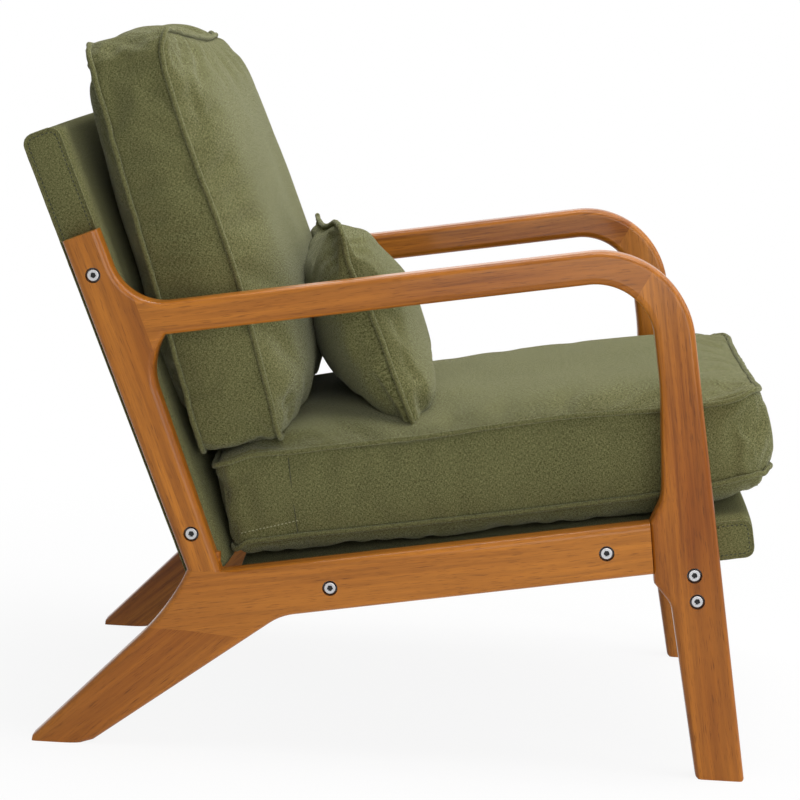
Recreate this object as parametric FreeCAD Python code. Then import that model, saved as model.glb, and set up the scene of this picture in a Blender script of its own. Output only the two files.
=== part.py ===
import FreeCAD, Part
import os
from math import atan2, cos, degrees, radians, sin, tan
from FreeCAD import Vector

# Accent chair: two glued side frames, an upholstered seat panel and back panel bolted
# between them, and three loose soft pieces. Millimetres, Z up, front towards -Y.
# Side views are drawn as (forward, height), with forward counted from a datum line
# through the middle of the seat rail. The whole chair is centred at the end.

# Driving sizes: overall
overall_width = 642.0
wood_thickness = 34.0
seat_slope = 9.8            # of the seat rail and the arm, rising to the front
back_lean = 113.0           # of the back post, counted from straight ahead
edge_round = 7.5            # on the long edges of the wood

# Driving sizes: side frame
rail_height = 193.3         # underside of the seat rail at the datum
rail_depth = 57.3
arm_height = 558.5          # top of the arm at the datum
arm_depth = 35.3
arm_bend_outer = 104.0
arm_bend_inner = 65.0
arm_root_round = 60.0       # where the arm's top runs up into the post
mitre_turn = 52.4           # of the arm to leg glue line, from the arm's direction
leg_lean = 99.8             # front edge of the front leg
leg_foot_front = 304.7
leg_foot_width = 53.3
leg_rear_lean = 101.5       # rear edge of the front leg below the rail
leg_top_width = 43.8
leg_swell_height = 430.0    # where the leg's inner edge turns steeper
leg_swell_lean = 94.3
leg_swell_round = 300.0
leg_ear_height = 312.0      # where the inner edge flares out to the rail
leg_ear_lean = 68.0
leg_ear_round = 50.0
leg_butt_lean = 97.5        # glue line between the rail and the leg
leg_boss_drop = 10.0        # the leg's boss goes this far below the rail
leg_boss_lean = 132.0
leg_boss_round = 25.0
knee_height = 202.0         # where the back post stands on the knee
knee_reach = 321.5          # behind the datum
knee_end_slope = 67.0
knee_round = 250.0
knee_under_round = 62.0
post_length = 385.0
post_width_foot = 35.3
post_width_head = 41.0
post_front_lean = 111.4     # front edge of the post below the arm
post_board_width = 52.0     # the post's board, where the arm is joined to it
post_hollow_round = 70.0    # hollow under the arm
post_hollow_reach = 18.0    # of the hollow along the arm, from the post's board
post_hollow_lean = 62.5
rear_leg_toe = 491.0        # behind the datum
rear_leg_heel = 424.0
rear_leg_top_slope = 46.2
rear_leg_under_slope = 36.9
rear_leg_seam_drop = 67.0   # from the foot of the post down to the leg's glue line
rear_leg_seam_slope = -4.6
toe_flat = 5.0
heel_flat = 7.0
foot_flat = 2.5

# Driving sizes: fasteners
bolt_shank = 8.0
bolt_head = 13.0
bolt_head_height = 8.0
bolt_length = 45.0
bolt_head_round = 0.8
hex_size = 6.0
hex_depth = 4.0
washer_width = 16.0
washer_thickness = 1.6
washer_bore = 8.6
counterbore_width = 17.0
counterbore_depth = 11.0
bolt_hole = 9.0
insert_width = 12.0
insert_length = 16.0
thread_clearance = 0.05
insert_clearance = 0.05
insert_bottom_room = 4.0
back_bolt_reach = 19.0      # from the rear edge of the post
back_bolt_heights = (36.4, 339.7)       # up the post from the knee
rail_bolts = ((-161.0, 25.5), (145.1, 29.4))    # along the rail, and above its underside
leg_bolts = ((237.7, -6.0), (237.5, -35.2))     # in the same way, into the stretcher
dowel_width = 10.0
dowel_length = 40.0
dowel_clearance = 0.05
dowel_end_room = 1.0
dowel_spacing = 24.0

# Driving sizes: panels
fabric = 1.2
panel_side_gap = 0.3        # between a panel and the side frames
panel_thickness = 41.0      # between the two seams of a panel's side
panel_corner = 12.0
panel_under_pad = 3.5       # from the seam out to the underside, or to the rear
panel_under_reach = 12.0
panel_crown = 12.0
panel_crown_reach = 150.0
panel_pull = 0.4
seat_panel_lift = 2.6       # above the rail's underside
seat_panel_front = 304.0
seat_panel_bulge = 4.0      # of its front edge, between the seams
seat_panel_rear = 252.0
back_panel_overhang = 6.5   # behind the rear edge of the post
back_panel_bottom = -8.0    # along the post, from the knee
back_panel_top = 503.0
batten_width = 45.0
batten_height = 34.0
board_thickness = 6.0
dust_cover_margin = 30.0
dust_cover_gap = 0.2
stretcher_width = 24.0
stretcher_height = 50.0
stretcher_gap = 0.3         # under the seat panel

# Driving sizes: loose soft pieces
soft_gap = 0.4              # between a soft piece and what it rests on
core_gap = 0.3              # between a cover and its filling
piping_width = 6.4
piping_gap = 0.05
seat_cushion_side_room = 18.0       # between the cushion and each side frame
seat_cushion_front = 329.0
seat_cushion_rear_low = 266.0       # at the lower seam
seat_cushion_rear_high = 276.0      # at the upper seam
seat_cushion_corner = 26.0
seat_cushion_belly = 27.0   # from the underside up to the lower seam
seat_cushion_belly_reach = 60.0
seat_cushion_boxing = 94.0
seat_cushion_crown = 22.0
seat_cushion_crown_reach = 130.0
seat_cushion_pull = 4.0     # of the boxing, in between the seams
seat_cushion_bulge = 8.0    # of the front boxing, over the pull
back_cushion_lean = 107.7
back_cushion_side_room = 21.0
back_cushion_length = 451.0
back_cushion_corner = 30.0
back_cushion_boxing = 85.0
back_cushion_rear_crown = 17.0
back_cushion_crown = 52.0
back_cushion_crown_reach = 170.0
back_cushion_pull = 6.0
pillow_side_room = 56.0
pillow_height = 240.0
pillow_corner = 14.0
pillow_pull = 12.0          # of each side, in between the corners
pillow_straight = 0.6       # of each side, the part in the middle that runs straight
pillow_waist = 160.0
pillow_front_crown = 54.0
pillow_rear_crown = 58.0
pillow_cap = 78.0           # degrees of the crown's curve, up to its flat top
pillow_fullness = 0.6
pillow_lean = 113.0
pillow_turn = 5.0           # its left end lies further back
pillow_roll = -0.6          # and lower
pillow_start = (-90.0, 510.0)       # where its middle is before it is let down
settle_start = 20.0
settle_back = 5.0           # a soft piece is first moved back by this much
settle_rounds = 10
zip_height = 6.0
zip_proud = 0.5
zip_clearance = 0.3
zip_end_room = 40.0         # from the ends of the zip to its cushion's corners
seat_zip_rise = 8.0         # above the lower seam
seat_zip_wrap = 66.0        # round the rear corners, along the sides
pillow_zip_inset = 9.0      # behind the seam
slider_width = 8.0
slider_length = 12.0
slider_thickness = 2.6
slider_gap = 0.3
slider_end_room = 34.0      # from the end of the zip to the slider

DOME_RINGS = 5
PILLOW_RINGS = 3
inner_half = overall_width / 2 - wood_thickness
panel_half = inner_half - panel_side_gap
far = 1000.0                # further than the chair reaches


# Lines in the side view: a line is a point and a direction in degrees

def meet(first, second):
    """The point where two lines cross."""
    (f1, z1), a1 = first
    (f2, z2), a2 = second
    a1, a2 = radians(a1), radians(a2)
    reach = ((f2 - f1) * sin(a2) - (z2 - z1) * cos(a2)) / sin(a2 - a1)
    return f1 + reach * cos(a1), z1 + reach * sin(a1)


def beside(line, distance):
    """A line moved square to itself, to the right of its direction."""
    (f, z), angle = line
    return (f + distance * sin(radians(angle)), z - distance * cos(radians(angle))), angle


def step(point, angle, distance):
    """The point that lies a distance away in a direction."""
    return point[0] + distance * cos(radians(angle)), point[1] + distance * sin(radians(angle))


def level(height):
    return (0.0, height), 0.0


# Wires and solids

def rounded(corners):
    """A closed wire through (vector, radius) corners. A radius too large for its sides is cut back."""
    count = len(corners)
    points = [corner for corner, _ in corners]
    halves, reaches = [], []
    for i, (corner, radius) in enumerate(corners):
        back = points[i - 1] - corner
        ahead = points[(i + 1) % count] - corner
        halves.append(back.getAngle(ahead) / 2)
        reaches.append(radius / tan(halves[i]))
    for i in range(count):
        wanted = reaches[i - 1] + reaches[i]
        room = 0.98 * (points[i] - points[i - 1]).Length
        if wanted > room:
            reaches[i - 1] *= room / wanted
            reaches[i] *= room / wanted
    edges = []
    last = None
    for i, corner in enumerate(points):
        back = (points[i - 1] - corner).normalize()
        ahead = (points[(i + 1) % count] - corner).normalize()
        radius = reaches[i] * tan(halves[i])
        start, end = corner + back * reaches[i], corner + ahead * reaches[i]
        if last:
            edges.append(Part.LineSegment(last, start).toShape())
        else:
            first = start
        if radius:
            middle = corner + (back + ahead).normalize() * (radius / sin(halves[i]) - radius)
            edges.append(Part.Arc(start, middle, end).toShape())
        last = end
    edges.append(Part.LineSegment(last, first).toShape())
    return Part.Wire(edges)


def side_wire(corners):
    """A closed wire in the side view from ((forward, height), radius) corners."""
    return rounded([(Vector(0, -f, z), radius) for (f, z), radius in corners])


def side_prism(corners, start, end):
    """A side-view shape pushed through from one x to another."""
    prism = Part.Face(side_wire(corners)).extrude(Vector(end - start, 0, 0))
    prism.translate(Vector(start, 0, 0))
    return prism


def rod(place, width, start, end):
    """A round bar along X at a place in the side view."""
    return Part.makeCylinder(width / 2, end - start, Vector(start, -place[0], place[1]), Vector(1, 0, 0))


def block(low, high):
    return Part.makeBox(high[0] - low[0], high[1] - low[1], high[2] - low[2], Vector(*low))


def mirrored(shape):
    return shape.mirror(Vector(0, 0, 0), Vector(1, 0, 0))


def laid(shape, slope, place, turn=0.0):
    """A shape drawn flat (Y back or up, Z out of its face) set at its slope and place."""
    shape = shape.copy()
    shape.rotate(Vector(0, 0, 0), Vector(1, 0, 0), slope)
    shape.rotate(Vector(0, 0, 0), Vector(0, 0, 1), turn)
    shape.translate(Vector(0, -place[0], place[1]))
    return shape


def group(solids):
    return Part.makeCompound(solids)


# Side frame: all of its lines, then one face that the glue lines divide
rail_under = ((0.0, rail_height), seat_slope)
rail_top = beside(rail_under, -rail_depth)
arm_top = ((0.0, arm_height), seat_slope)
arm_under = beside(arm_top, arm_depth)
leg_front = ((leg_foot_front, 0.0), leg_lean)
leg_rear = ((leg_foot_front - leg_foot_width, 0.0), leg_rear_lean)
leg_inner = beside(leg_front, -leg_top_width)
leg_swell = (meet(leg_inner, level(leg_swell_height)), leg_swell_lean)
leg_ear = (meet(leg_swell, level(leg_ear_height)), leg_ear_lean)
rail_end = meet(rail_top, leg_ear)
leg_butt = (rail_end, leg_butt_lean)
boss_top = meet(rail_under, leg_butt)
boss_tip = step(boss_top, leg_butt_lean, -leg_boss_drop)
boss_face = (boss_tip, leg_boss_lean)
rear_leg_top = ((-rear_leg_toe, 0.0), rear_leg_top_slope)
rear_leg_under = ((-rear_leg_heel, 0.0), rear_leg_under_slope)
toe_tip = meet(rear_leg_top, level(toe_flat))
knee_back = (-knee_reach, knee_height)
knee_end = (knee_back, knee_end_slope)
post_rear = (knee_back, back_lean)
post_head = (step(knee_back, back_lean, post_length), back_lean - 90)
post_front_low = (beside(post_rear, post_width_foot)[0], post_front_lean)
post_front_high = beside(post_rear, post_width_head)
arm_seam = beside(post_rear, post_board_width)
knee_front = meet(post_front_low, rail_top)
hollow_end = step(meet(arm_seam, arm_under), seat_slope, post_hollow_reach)
post_hollow = (hollow_end, post_hollow_lean)
bend_inner = meet(arm_under, leg_inner)
bend_outer = meet(arm_top, leg_front)
mitre = (bend_inner, seat_slope + mitre_turn)
rear_leg_seam = (step(knee_back, 270, rear_leg_seam_drop), rear_leg_seam_slope)

frame_outline = [
    ((toe_tip[0], 0.0), 0),
    (step(rear_leg_under[0], 180, heel_flat), 0),
    (step(rear_leg_under[0], rear_leg_under_slope, heel_flat), 0),
    (meet(rear_leg_under, rail_under), knee_under_round),
    (boss_top, 0),
    (boss_tip, 0),
    (meet(boss_face, leg_rear), leg_boss_round),
    (step(leg_rear[0], leg_rear_lean, foot_flat), 0),
    (step(leg_rear[0], 0, foot_flat), 0),
    (step(leg_front[0], 180, foot_flat), 0),
    (step(leg_front[0], leg_lean, foot_flat), 0),
    (bend_outer, arm_bend_outer),
    (meet(arm_top, post_front_high), arm_root_round),
    (meet(post_front_high, post_head), 0),
    (meet(post_rear, post_head), 0),
    (knee_back, 0),
    (meet(knee_end, rear_leg_top), knee_round),
    (toe_tip, 0),
]
frame_window = [
    (knee_front, 0),
    (meet(post_front_low, post_hollow), post_hollow_round),
    (hollow_end, 0),
    (bend_inner, arm_bend_inner),
    (meet(leg_inner, leg_swell), leg_swell_round),
    (meet(leg_swell, leg_ear), leg_ear_round),
    (rail_end, 0),
]
outer_wire = side_wire(frame_outline)
window_wire = side_wire(frame_window)
frame_board = Part.Face([outer_wire, window_wire]).extrude(Vector(wood_thickness, 0, 0))


def half_plane(line, right):
    """The region on one side of a line, as far as the frame reaches."""
    point, angle = line
    away = 90 if not right else -90
    ends = step(point, angle, -far), step(point, angle, far)
    corners = [ends[0], ends[1], step(ends[1], angle + away, far), step(ends[0], angle + away, far)]
    return [(corner, 0) for corner in corners]


def region(*sides):
    """What several half planes have in common, thick enough to cut the board."""
    prisms = [side_prism(half_plane(line, right), -1, wood_thickness + 1) for line, right in sides]
    cutter = prisms[0]
    for prism in prisms[1:]:
        cutter = cutter.common(prism)
    return cutter


def largest(shape):
    return max(shape.Solids, key=lambda solid: solid.Volume)


def member(*sides):
    return largest(frame_board.common(region(*sides)))


def softened(wood):
    """The member with its long outline edges rounded, but not its glue lines, foot or head."""
    edges = []
    for edge in wood.Edges:
        middle = edge.valueAt((edge.FirstParameter + edge.LastParameter) / 2)
        flat = [vertex.Point.x for vertex in edge.Vertexes] + [middle.x]
        if max(flat) - min(flat) > 1e-6:
            continue
        probe = Part.Vertex(Vector(0, middle.y, middle.z))
        outlined = min(probe.distToShape(outer_wire)[0], probe.distToShape(window_wire)[0]) < 1e-5
        crown = (middle - Vector(middle.x, -post_head[0][0], post_head[0][1])).Length < post_width_head
        ends = crown and edge.Length < 1.2 * post_width_head
        if outlined and middle.z > 1e-3 and edge.Length > 1.2 * heel_flat and not ends:
            edges.append(edge)
    return wood.makeFillet(edge_round, edges)


knee_line = Vector(knee_front[0] - knee_back[0], knee_front[1] - knee_back[1], 0)
slant = degrees(Vector(1, 0, 0).getAngle(knee_line))
post_seam = (knee_back, slant if knee_front[1] > knee_back[1] else -slant)
rear_leg = member((rear_leg_seam, True), ((rear_leg_seam[0], 0.0), True))
back_post = member((post_seam, False), (arm_seam, False))
arm = member((arm_seam, True), (mitre, False), (level(leg_swell_height), False))
front_leg = member((leg_butt, True), (mitre, True))
side_rail = largest(frame_board.cut([rear_leg, back_post, arm, front_leg]))
frame_wood = {"rear_leg": rear_leg, "back_post": back_post, "arm": arm, "front_leg": front_leg,
              "side_rail": side_rail}
frame_wood = {name: softened(wood) for name, wood in frame_wood.items()}

# Dowels: a pair across each glue line
dowels, dowel_holes = [], []
glue_lines = [rear_leg_seam, post_seam, arm_seam, mitre, leg_butt]
glue_points = [(rear_leg_seam[0]), knee_back, hollow_end, bend_inner, rail_end]
for (point, angle), near in zip(glue_lines, glue_points):
    ends = [Vector(wood_thickness / 2, -f, z) for f, z in (step(point, angle, -far), step(point, angle, far))]
    crossing = Part.LineSegment(*ends).toShape().common(frame_board)
    spot = Part.Vertex(Vector(wood_thickness / 2, -near[0], near[1]))
    edge = min(crossing.Edges, key=lambda piece: piece.distToShape(spot)[0])
    middle = edge.CenterOfMass
    across = Vector(0, sin(radians(angle)), cos(radians(angle)))
    along = Vector(0, -cos(radians(angle)), sin(radians(angle)))
    for place in (-dowel_spacing / 2, dowel_spacing / 2):
        centre = middle + along * place
        dowels.append(Part.makeCylinder(dowel_width / 2, dowel_length,
                                        centre - across * (dowel_length / 2), across))
        room = dowel_length + 2 * dowel_end_room
        dowel_holes.append(Part.makeCylinder(dowel_width / 2 + dowel_clearance, room,
                                             centre - across * (room / 2), across))


# Panels: each is drawn flat, Y along it and Z out of its face

def skinned(runs):
    """A solid skinned over runs of rings, closed with a flat face at either end."""
    faces = [Part.Face(runs[0][0]), Part.Face(runs[-1][-1])]
    for rings in runs:
        faces += Part.makeLoft(rings, False, False).Faces
    shell = Part.Shell(faces)
    shell.sewShape()
    solid = Part.Solid(shell)
    return solid if solid.Volume > 0 else solid.reversed()


def hollow(outer, inner):
    """The outer solid with the inner one left out of its middle."""
    return Part.Solid(Part.Compound([outer.Shells[0], inner.Shells[0].reversed()]))


def soft_form(lower, upper, corner, seams, crowns, reaches, pull, bulge, grow=0.0):
    """A boxed cushion: a crown beyond each of its two seams, the boxing drawn in between them.

    An outline is (half width, front, rear) in Y; the boxing swells out at the front by the bulge.
    """
    def ring(outline, height, inset, ahead=0.0):
        half, front, rear = outline
        half, front, rear = half + grow - inset, front - grow + inset - ahead, rear + grow - inset
        turned = [Vector(-half, front, height), Vector(half, front, height),
                  Vector(half, rear, height), Vector(-half, rear, height)]
        return rounded([(point, corner) for point in turned])

    turns = [radians(90.0 * k / DOME_RINGS) for k in range(DOME_RINGS + 1)]
    below = [ring(lower, seams[0] - (crowns[0] + grow) * sin(t), reaches[0] * (1 - cos(t))) for t in turns]
    above = [ring(upper, seams[1] + (crowns[1] + grow) * sin(t), reaches[1] * (1 - cos(t))) for t in turns]
    waist = tuple((low + high) / 2 for low, high in zip(lower, upper))
    middle = ring(waist, (seams[0] + seams[1]) / 2, pull, bulge)
    return skinned([list(reversed(below)), [below[0], middle, above[0]], above])


def in_panel(panel_form, start, end):
    """A panel's stiff pieces and foam: battens round the edge, a board over them, then the foam."""
    inside = panel_form(-fabric - core_gap)
    low = inside.optimalBoundingBox().ZMin
    edge = panel_half - panel_pull - fabric - core_gap
    top = low + batten_height
    inner = edge - batten_width
    lower, upper = start + fabric + core_gap, end - fabric - core_gap
    parts = {
        "batten_right": block((-edge, start, low), (-inner, end, top)),
        "batten_left": block((inner, start, low), (edge, end, top)),
        "cross_batten_low": block((-inner, lower, low), (inner, lower + batten_width, top)),
        "cross_batten_high": block((-inner, upper - batten_width, low), (inner, upper, top)),
        "board": block((-edge, start - far, top), (edge, end + far, top + board_thickness)),
        "foam": block((-edge, start - far, top + board_thickness), (edge, end + far, top + far)),
    }
    return {name: largest(part.common(inside)) for name, part in parts.items()}


def seat_panel_form(grow=0.0):
    low = seat_panel_lift + panel_under_pad
    outline = (panel_half, -seat_panel_front, seat_panel_rear)
    return soft_form(outline, outline, panel_corner, (low, seat_panel_lift + panel_thickness),
                     (panel_under_pad, panel_crown), (panel_under_reach, panel_crown_reach),
                     panel_pull, seat_panel_bulge, grow)


def back_panel_form(grow=0.0):
    low = panel_under_pad - back_panel_overhang
    outline = (panel_half, back_panel_bottom, back_panel_top)
    return soft_form(outline, outline, panel_corner, (low, low + panel_thickness),
                     (panel_under_pad, panel_crown), (panel_under_reach, panel_crown_reach),
                     panel_pull, 0.0, grow)


def on_seat(shape):
    return laid(shape, -seat_slope, (0.0, rail_height))


def on_back(shape):
    return laid(shape, 180 - back_lean, knee_back)


seat_inside = in_panel(seat_panel_form, -seat_panel_front, seat_panel_rear)
back_inside = in_panel(back_panel_form, back_panel_bottom, back_panel_top)

# Bolts: each place is where its axis crosses the side view
seat_rail_place = [step(step(rail_under[0], seat_slope, reach), seat_slope + 90, rise)
                   for reach, rise in rail_bolts]
leg_place = [step(step(rail_under[0], seat_slope, reach), seat_slope + 90, rise) for reach, rise in leg_bolts]
back_place = [step(step(knee_back, back_lean, height), back_lean - 90, back_bolt_reach)
              for height in back_bolt_heights]
bolt_places = back_place + seat_rail_place + leg_place
socket_floor = counterbore_depth - washer_thickness
batten_face = wood_thickness + panel_side_gap + panel_pull + fabric + core_gap
insert_starts = [batten_face] * 4 + [wood_thickness] * 2
bolts, washers, inserts, wood_holes, panel_holes = [], [], [], [], []
for place, start in zip(bolt_places, insert_starts):
    head_face = socket_floor - bolt_head_height
    head_solid = rod(place, bolt_head, head_face, socket_floor)
    rim = [edge for edge in head_solid.Edges if edge.BoundBox.XMax < head_face + 1e-6]
    head_solid = head_solid.makeFillet(bolt_head_round, rim)
    corners = [step(place, 60 * k, hex_size / 2 / cos(radians(30))) for k in range(6)]
    socket = side_prism([(corner, 0) for corner in corners], head_face - 1, head_face + hex_depth)
    shank = rod(place, bolt_shank, socket_floor, socket_floor + bolt_length)
    bolts.append(largest(head_solid.fuse(shank).removeSplitter().cut(socket)))
    washers.append(rod(place, washer_width, socket_floor, counterbore_depth)
                   .cut(rod(place, washer_bore, 0, wood_thickness)))
    inserts.append(rod(place, insert_width, start, start + insert_length)
                   .cut(rod(place, bolt_shank + 2 * thread_clearance, 0, far)))
    wood_holes.append(rod(place, counterbore_width, -1, counterbore_depth))
    wood_holes.append(rod(place, bolt_hole, -1, wood_thickness + 1))
    bottom = max(start + insert_length, socket_floor + bolt_length) + insert_bottom_room
    panel_holes.append(rod(place, bolt_hole, wood_thickness, bottom))
    panel_holes.append(rod(place, insert_width + 2 * insert_clearance, start - 1, start + insert_length))
cover_holes = [rod(place, bolt_hole, wood_thickness - 1, insert_starts[0] + 1) for place in bolt_places[:4]]


def at_right(shapes):
    """Drawn from the outer face inwards: moved to the chair's right side, at -X."""
    moved = [shape.copy() for shape in shapes]
    for shape in moved:
        shape.translate(Vector(-overall_width / 2, 0, 0))
    return moved


bolts, washers, inserts, dowels = at_right(bolts), at_right(washers), at_right(inserts), at_right(dowels)
panel_holes, cover_holes = at_right(panel_holes), at_right(cover_holes)
panel_holes = panel_holes + [mirrored(hole) for hole in panel_holes]
cover_holes = cover_holes + [mirrored(hole) for hole in cover_holes]

pieces = {}
for name, wood in frame_wood.items():
    right = at_right([largest(wood.cut(wood_holes + dowel_holes))])[0]
    pieces[name + "_right"] = right
    pieces[name + "_left"] = mirrored(right)
for name, solids in (("dowels", dowels), ("bolts", bolts), ("washers", washers), ("inserts", inserts)):
    pieces[name + "_right"] = group(solids)
    pieces[name + "_left"] = group([mirrored(solid) for solid in solids])

stretcher_place = (leg_bolts[0][0] + leg_bolts[1][0]) / 2
stretcher_top = seat_panel_lift - stretcher_gap
stretcher = block((-inner_half, -stretcher_place - stretcher_width / 2, stretcher_top - stretcher_height),
                  (inner_half, -stretcher_place + stretcher_width / 2, stretcher_top))
pieces["front_stretcher"] = largest(on_seat(stretcher).cut(panel_holes))

for panel, panel_form, inside, place in (("seat_panel", seat_panel_form, seat_inside, on_seat),
                                         ("back_panel", back_panel_form, back_inside, on_back)):
    for name, piece in inside.items():
        piece = place(piece)
        holes = panel_holes if "batten" in name else []
        pieces[panel + "_" + name] = largest(piece.cut(holes)) if holes else piece
    cover = hollow(panel_form(), panel_form(-fabric))
    if panel == "seat_panel":
        # The dust cover closes a window in the underside
        margin = dust_cover_margin
        low = (-panel_half + margin, -seat_panel_front + margin, seat_panel_lift - 1)
        high = (panel_half - margin, seat_panel_rear - margin, seat_panel_lift + fabric + core_gap / 2)
        cover = cover.cut(block(low, high))
        gap = dust_cover_gap
        pieces[panel + "_dust_cover"] = place(block((low[0] + gap, low[1] + gap, seat_panel_lift),
                                                    (high[0] - gap, high[1] - gap, seat_panel_lift + fabric)))
    pieces[panel + "_cover"] = largest(place(cover).cut(cover_holes))


# Loose soft pieces

def piping(rim, inset=0.0):
    """A cord laid along a closed rim wire, its centre on the rim."""
    edge = rim.Edges[0]
    start = edge.valueAt((edge.FirstParameter + edge.LastParameter) / 2)
    tangent = edge.tangentAt((edge.FirstParameter + edge.LastParameter) / 2)
    halves = edge.split((edge.FirstParameter + edge.LastParameter) / 2).Edges
    path = Part.Wire([halves[1]] + rim.Edges[1:] + [halves[0]])
    circle = Part.Wire(Part.Circle(start, tangent, piping_width / 2).toShape())
    return path.makePipeShell([circle], True, False)


def rim_wire(outline, corner, height):
    """The line of a cushion's piping: its outline moved out to clear the cover."""
    out = piping_width / 2 + piping_gap
    half, front, rear = outline
    half, front, rear = half + out, front - out, rear + out
    turned = [Vector(-half, front, height), Vector(half, front, height),
              Vector(half, rear, height), Vector(-half, rear, height)]
    return rounded([(point, corner + out) for point in turned])


def with_filling(form, slit, zip_slit):
    """A cover with a slit for its zip, its filling, and the zip tape."""
    inner = form(-fabric)
    cover = largest(hollow(form(), inner).cut(slit))
    tape = largest(hollow(form(zip_proud), inner).common(zip_slit))
    return cover, form(-fabric - core_gap), tape


def slider_on(tape, x, height, outward):
    """A zip slider just clear of its tape, whose face looks along Y."""
    box = tape.optimalBoundingBox()
    face = (box.YMax if outward > 0 else box.YMin) + outward * slider_gap
    low, high = sorted((face, face + outward * slider_thickness))
    return block((x - slider_length / 2, low, height - slider_width / 2),
                 (x + slider_length / 2, high, height + slider_width / 2))


def settled(shapes, resting_on, angle):
    """Moves shapes in a side-view direction until they lie just clear; gives the move they made."""
    direction = Vector(0, -cos(radians(angle)), sin(radians(angle)))
    total = direction * -settle_back
    for shape in shapes:
        shape.translate(total)
    for _ in range(settle_rounds):
        room = min(shape.distToShape(other)[0] for shape in shapes for other in resting_on) - soft_gap
        for shape in shapes:
            shape.translate(direction * room)
        total += direction * room
        if abs(room) < 0.05:
            break
    return total


# Seat cushion
cushion_half = inner_half - seat_cushion_side_room
cushion_low = (cushion_half, -seat_cushion_front, seat_cushion_rear_low)
cushion_high = (cushion_half, -seat_cushion_front, seat_cushion_rear_high)
cushion_under = seat_panel_lift + panel_thickness + panel_crown + soft_gap
cushion_seams = (cushion_under + seat_cushion_belly, cushion_under + seat_cushion_belly + seat_cushion_boxing)


def seat_cushion_form(grow=0.0):
    return soft_form(cushion_low, cushion_high, seat_cushion_corner, cushion_seams,
                     (seat_cushion_belly, seat_cushion_crown),
                     (seat_cushion_belly_reach, seat_cushion_crown_reach),
                     seat_cushion_pull, seat_cushion_bulge, grow)


zip_low = cushion_seams[0] + seat_zip_rise
zip_start = seat_cushion_rear_low - seat_zip_wrap
slit = block((-far, zip_start, zip_low), (far, far, zip_low + zip_height))
tape_room = block((-far, zip_start + zip_clearance, zip_low + zip_clearance),
                  (far, far, zip_low + zip_height - zip_clearance))
cover, core, tape = with_filling(seat_cushion_form, slit, tape_room)
slider_x = -cushion_half + zip_end_room
seat_cushion = {"cover": cover, "core": core,
                "piping": group([piping(rim_wire(cushion_low, seat_cushion_corner, cushion_seams[0])),
                                 piping(rim_wire(cushion_high, seat_cushion_corner, cushion_seams[1]))]),
                "zip": tape, "slider": slider_on(tape, slider_x, zip_low + zip_height / 2, 1)}
for name, piece in seat_cushion.items():
    pieces["seat_cushion_" + name] = on_seat(piece)

# Back cushion: drawn with its bottom at Y = 0 and its front face up
rest_half = inner_half - back_cushion_side_room
rest_outline = (rest_half, 0.0, back_cushion_length)


def back_cushion_form(grow=0.0):
    return soft_form(rest_outline, rest_outline, back_cushion_corner, (0.0, back_cushion_boxing),
                     (back_cushion_rear_crown, back_cushion_crown),
                     (back_cushion_crown_reach, back_cushion_crown_reach),
                     back_cushion_pull, -back_cushion_pull, grow)


zip_low = (back_cushion_boxing - zip_height) / 2
zip_half = rest_half - back_cushion_corner - zip_end_room / 2
slit = block((-zip_half, -far, zip_low), (zip_half, back_cushion_corner, zip_low + zip_height))
tape_room = block((-zip_half + zip_clearance, -far, zip_low + zip_clearance),
                  (zip_half - zip_clearance, back_cushion_corner, zip_low + zip_height - zip_clearance))
cover, core, tape = with_filling(back_cushion_form, slit, tape_room)
rims = [piping(rim_wire(rest_outline, back_cushion_corner, height)) for height in (0.0, back_cushion_boxing)]
back_cushion = {"cover": cover, "core": core, "piping": group(rims), "zip": tape,
                "slider": slider_on(tape, -zip_half + slider_end_room, zip_low + zip_height / 2, -1)}

# Pillow: drawn with its front face up and its rim in the plane Z = 0
pillow_half = inner_half - pillow_side_room


def outset(corners, out):
    """A closed outline whose sides are all moved out square to themselves."""
    sides = []
    for i, corner in enumerate(corners):
        along = Vector(corner[0] - corners[i - 1][0], corner[1] - corners[i - 1][1], 0)
        angle = degrees(atan2(along.y, along.x))
        sides.append(beside((corner, angle), out))
    return [meet(side, sides[(i + 1) % len(sides)]) for i, side in enumerate(sides)]


def pillow_ring(turn, grow=0.0):
    """The pillow's outline at a turn of its crown's curve, from below its rim to above it."""
    crown = (pillow_front_crown if turn > 0 else pillow_rear_crown) + grow
    scale = cos(radians(turn)) ** pillow_fullness
    half, rise, pull = scale * pillow_half, scale * pillow_height / 2, scale * pillow_pull
    height = crown * sin(radians(turn)) / sin(radians(pillow_cap))
    near, near_end = rise * pillow_straight, half * pillow_straight
    quarter = [(half, -rise), (half - pull, -near), (half - pull, near),
               (half, rise), (near_end, rise - pull), (-near_end, rise - pull)]
    corners = outset(quarter + [(-x, -y) for x, y in quarter], grow)
    radii = [pillow_corner, pillow_waist, pillow_waist] * 4
    return rounded([(Vector(x, y, height), radius) for (x, y), radius in zip(corners, radii)])


def pillow_form(grow=0.0):
    turns = [pillow_cap * (k / PILLOW_RINGS - 1) for k in range(2 * PILLOW_RINGS + 1)]
    return skinned([[pillow_ring(turn, grow) for turn in turns]])


zip_low = -pillow_zip_inset - zip_height
zip_half = pillow_straight * pillow_half - zip_end_room / 2
slit = block((-zip_half, -far, zip_low), (zip_half, 0.0, zip_low + zip_height))
tape_room = block((-zip_half + zip_clearance, -far, zip_low + zip_clearance),
                  (zip_half - zip_clearance, 0.0, zip_low + zip_height - zip_clearance))
cover, core, tape = with_filling(pillow_form, slit, tape_room)
pillow = {"cover": cover, "fill": core, "zip": tape,
          "piping": piping(pillow_ring(0.0, piping_width / 2 + piping_gap)),
          "slider": slider_on(tape, -zip_half + slider_end_room, zip_low + zip_height / 2, -1)}


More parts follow.
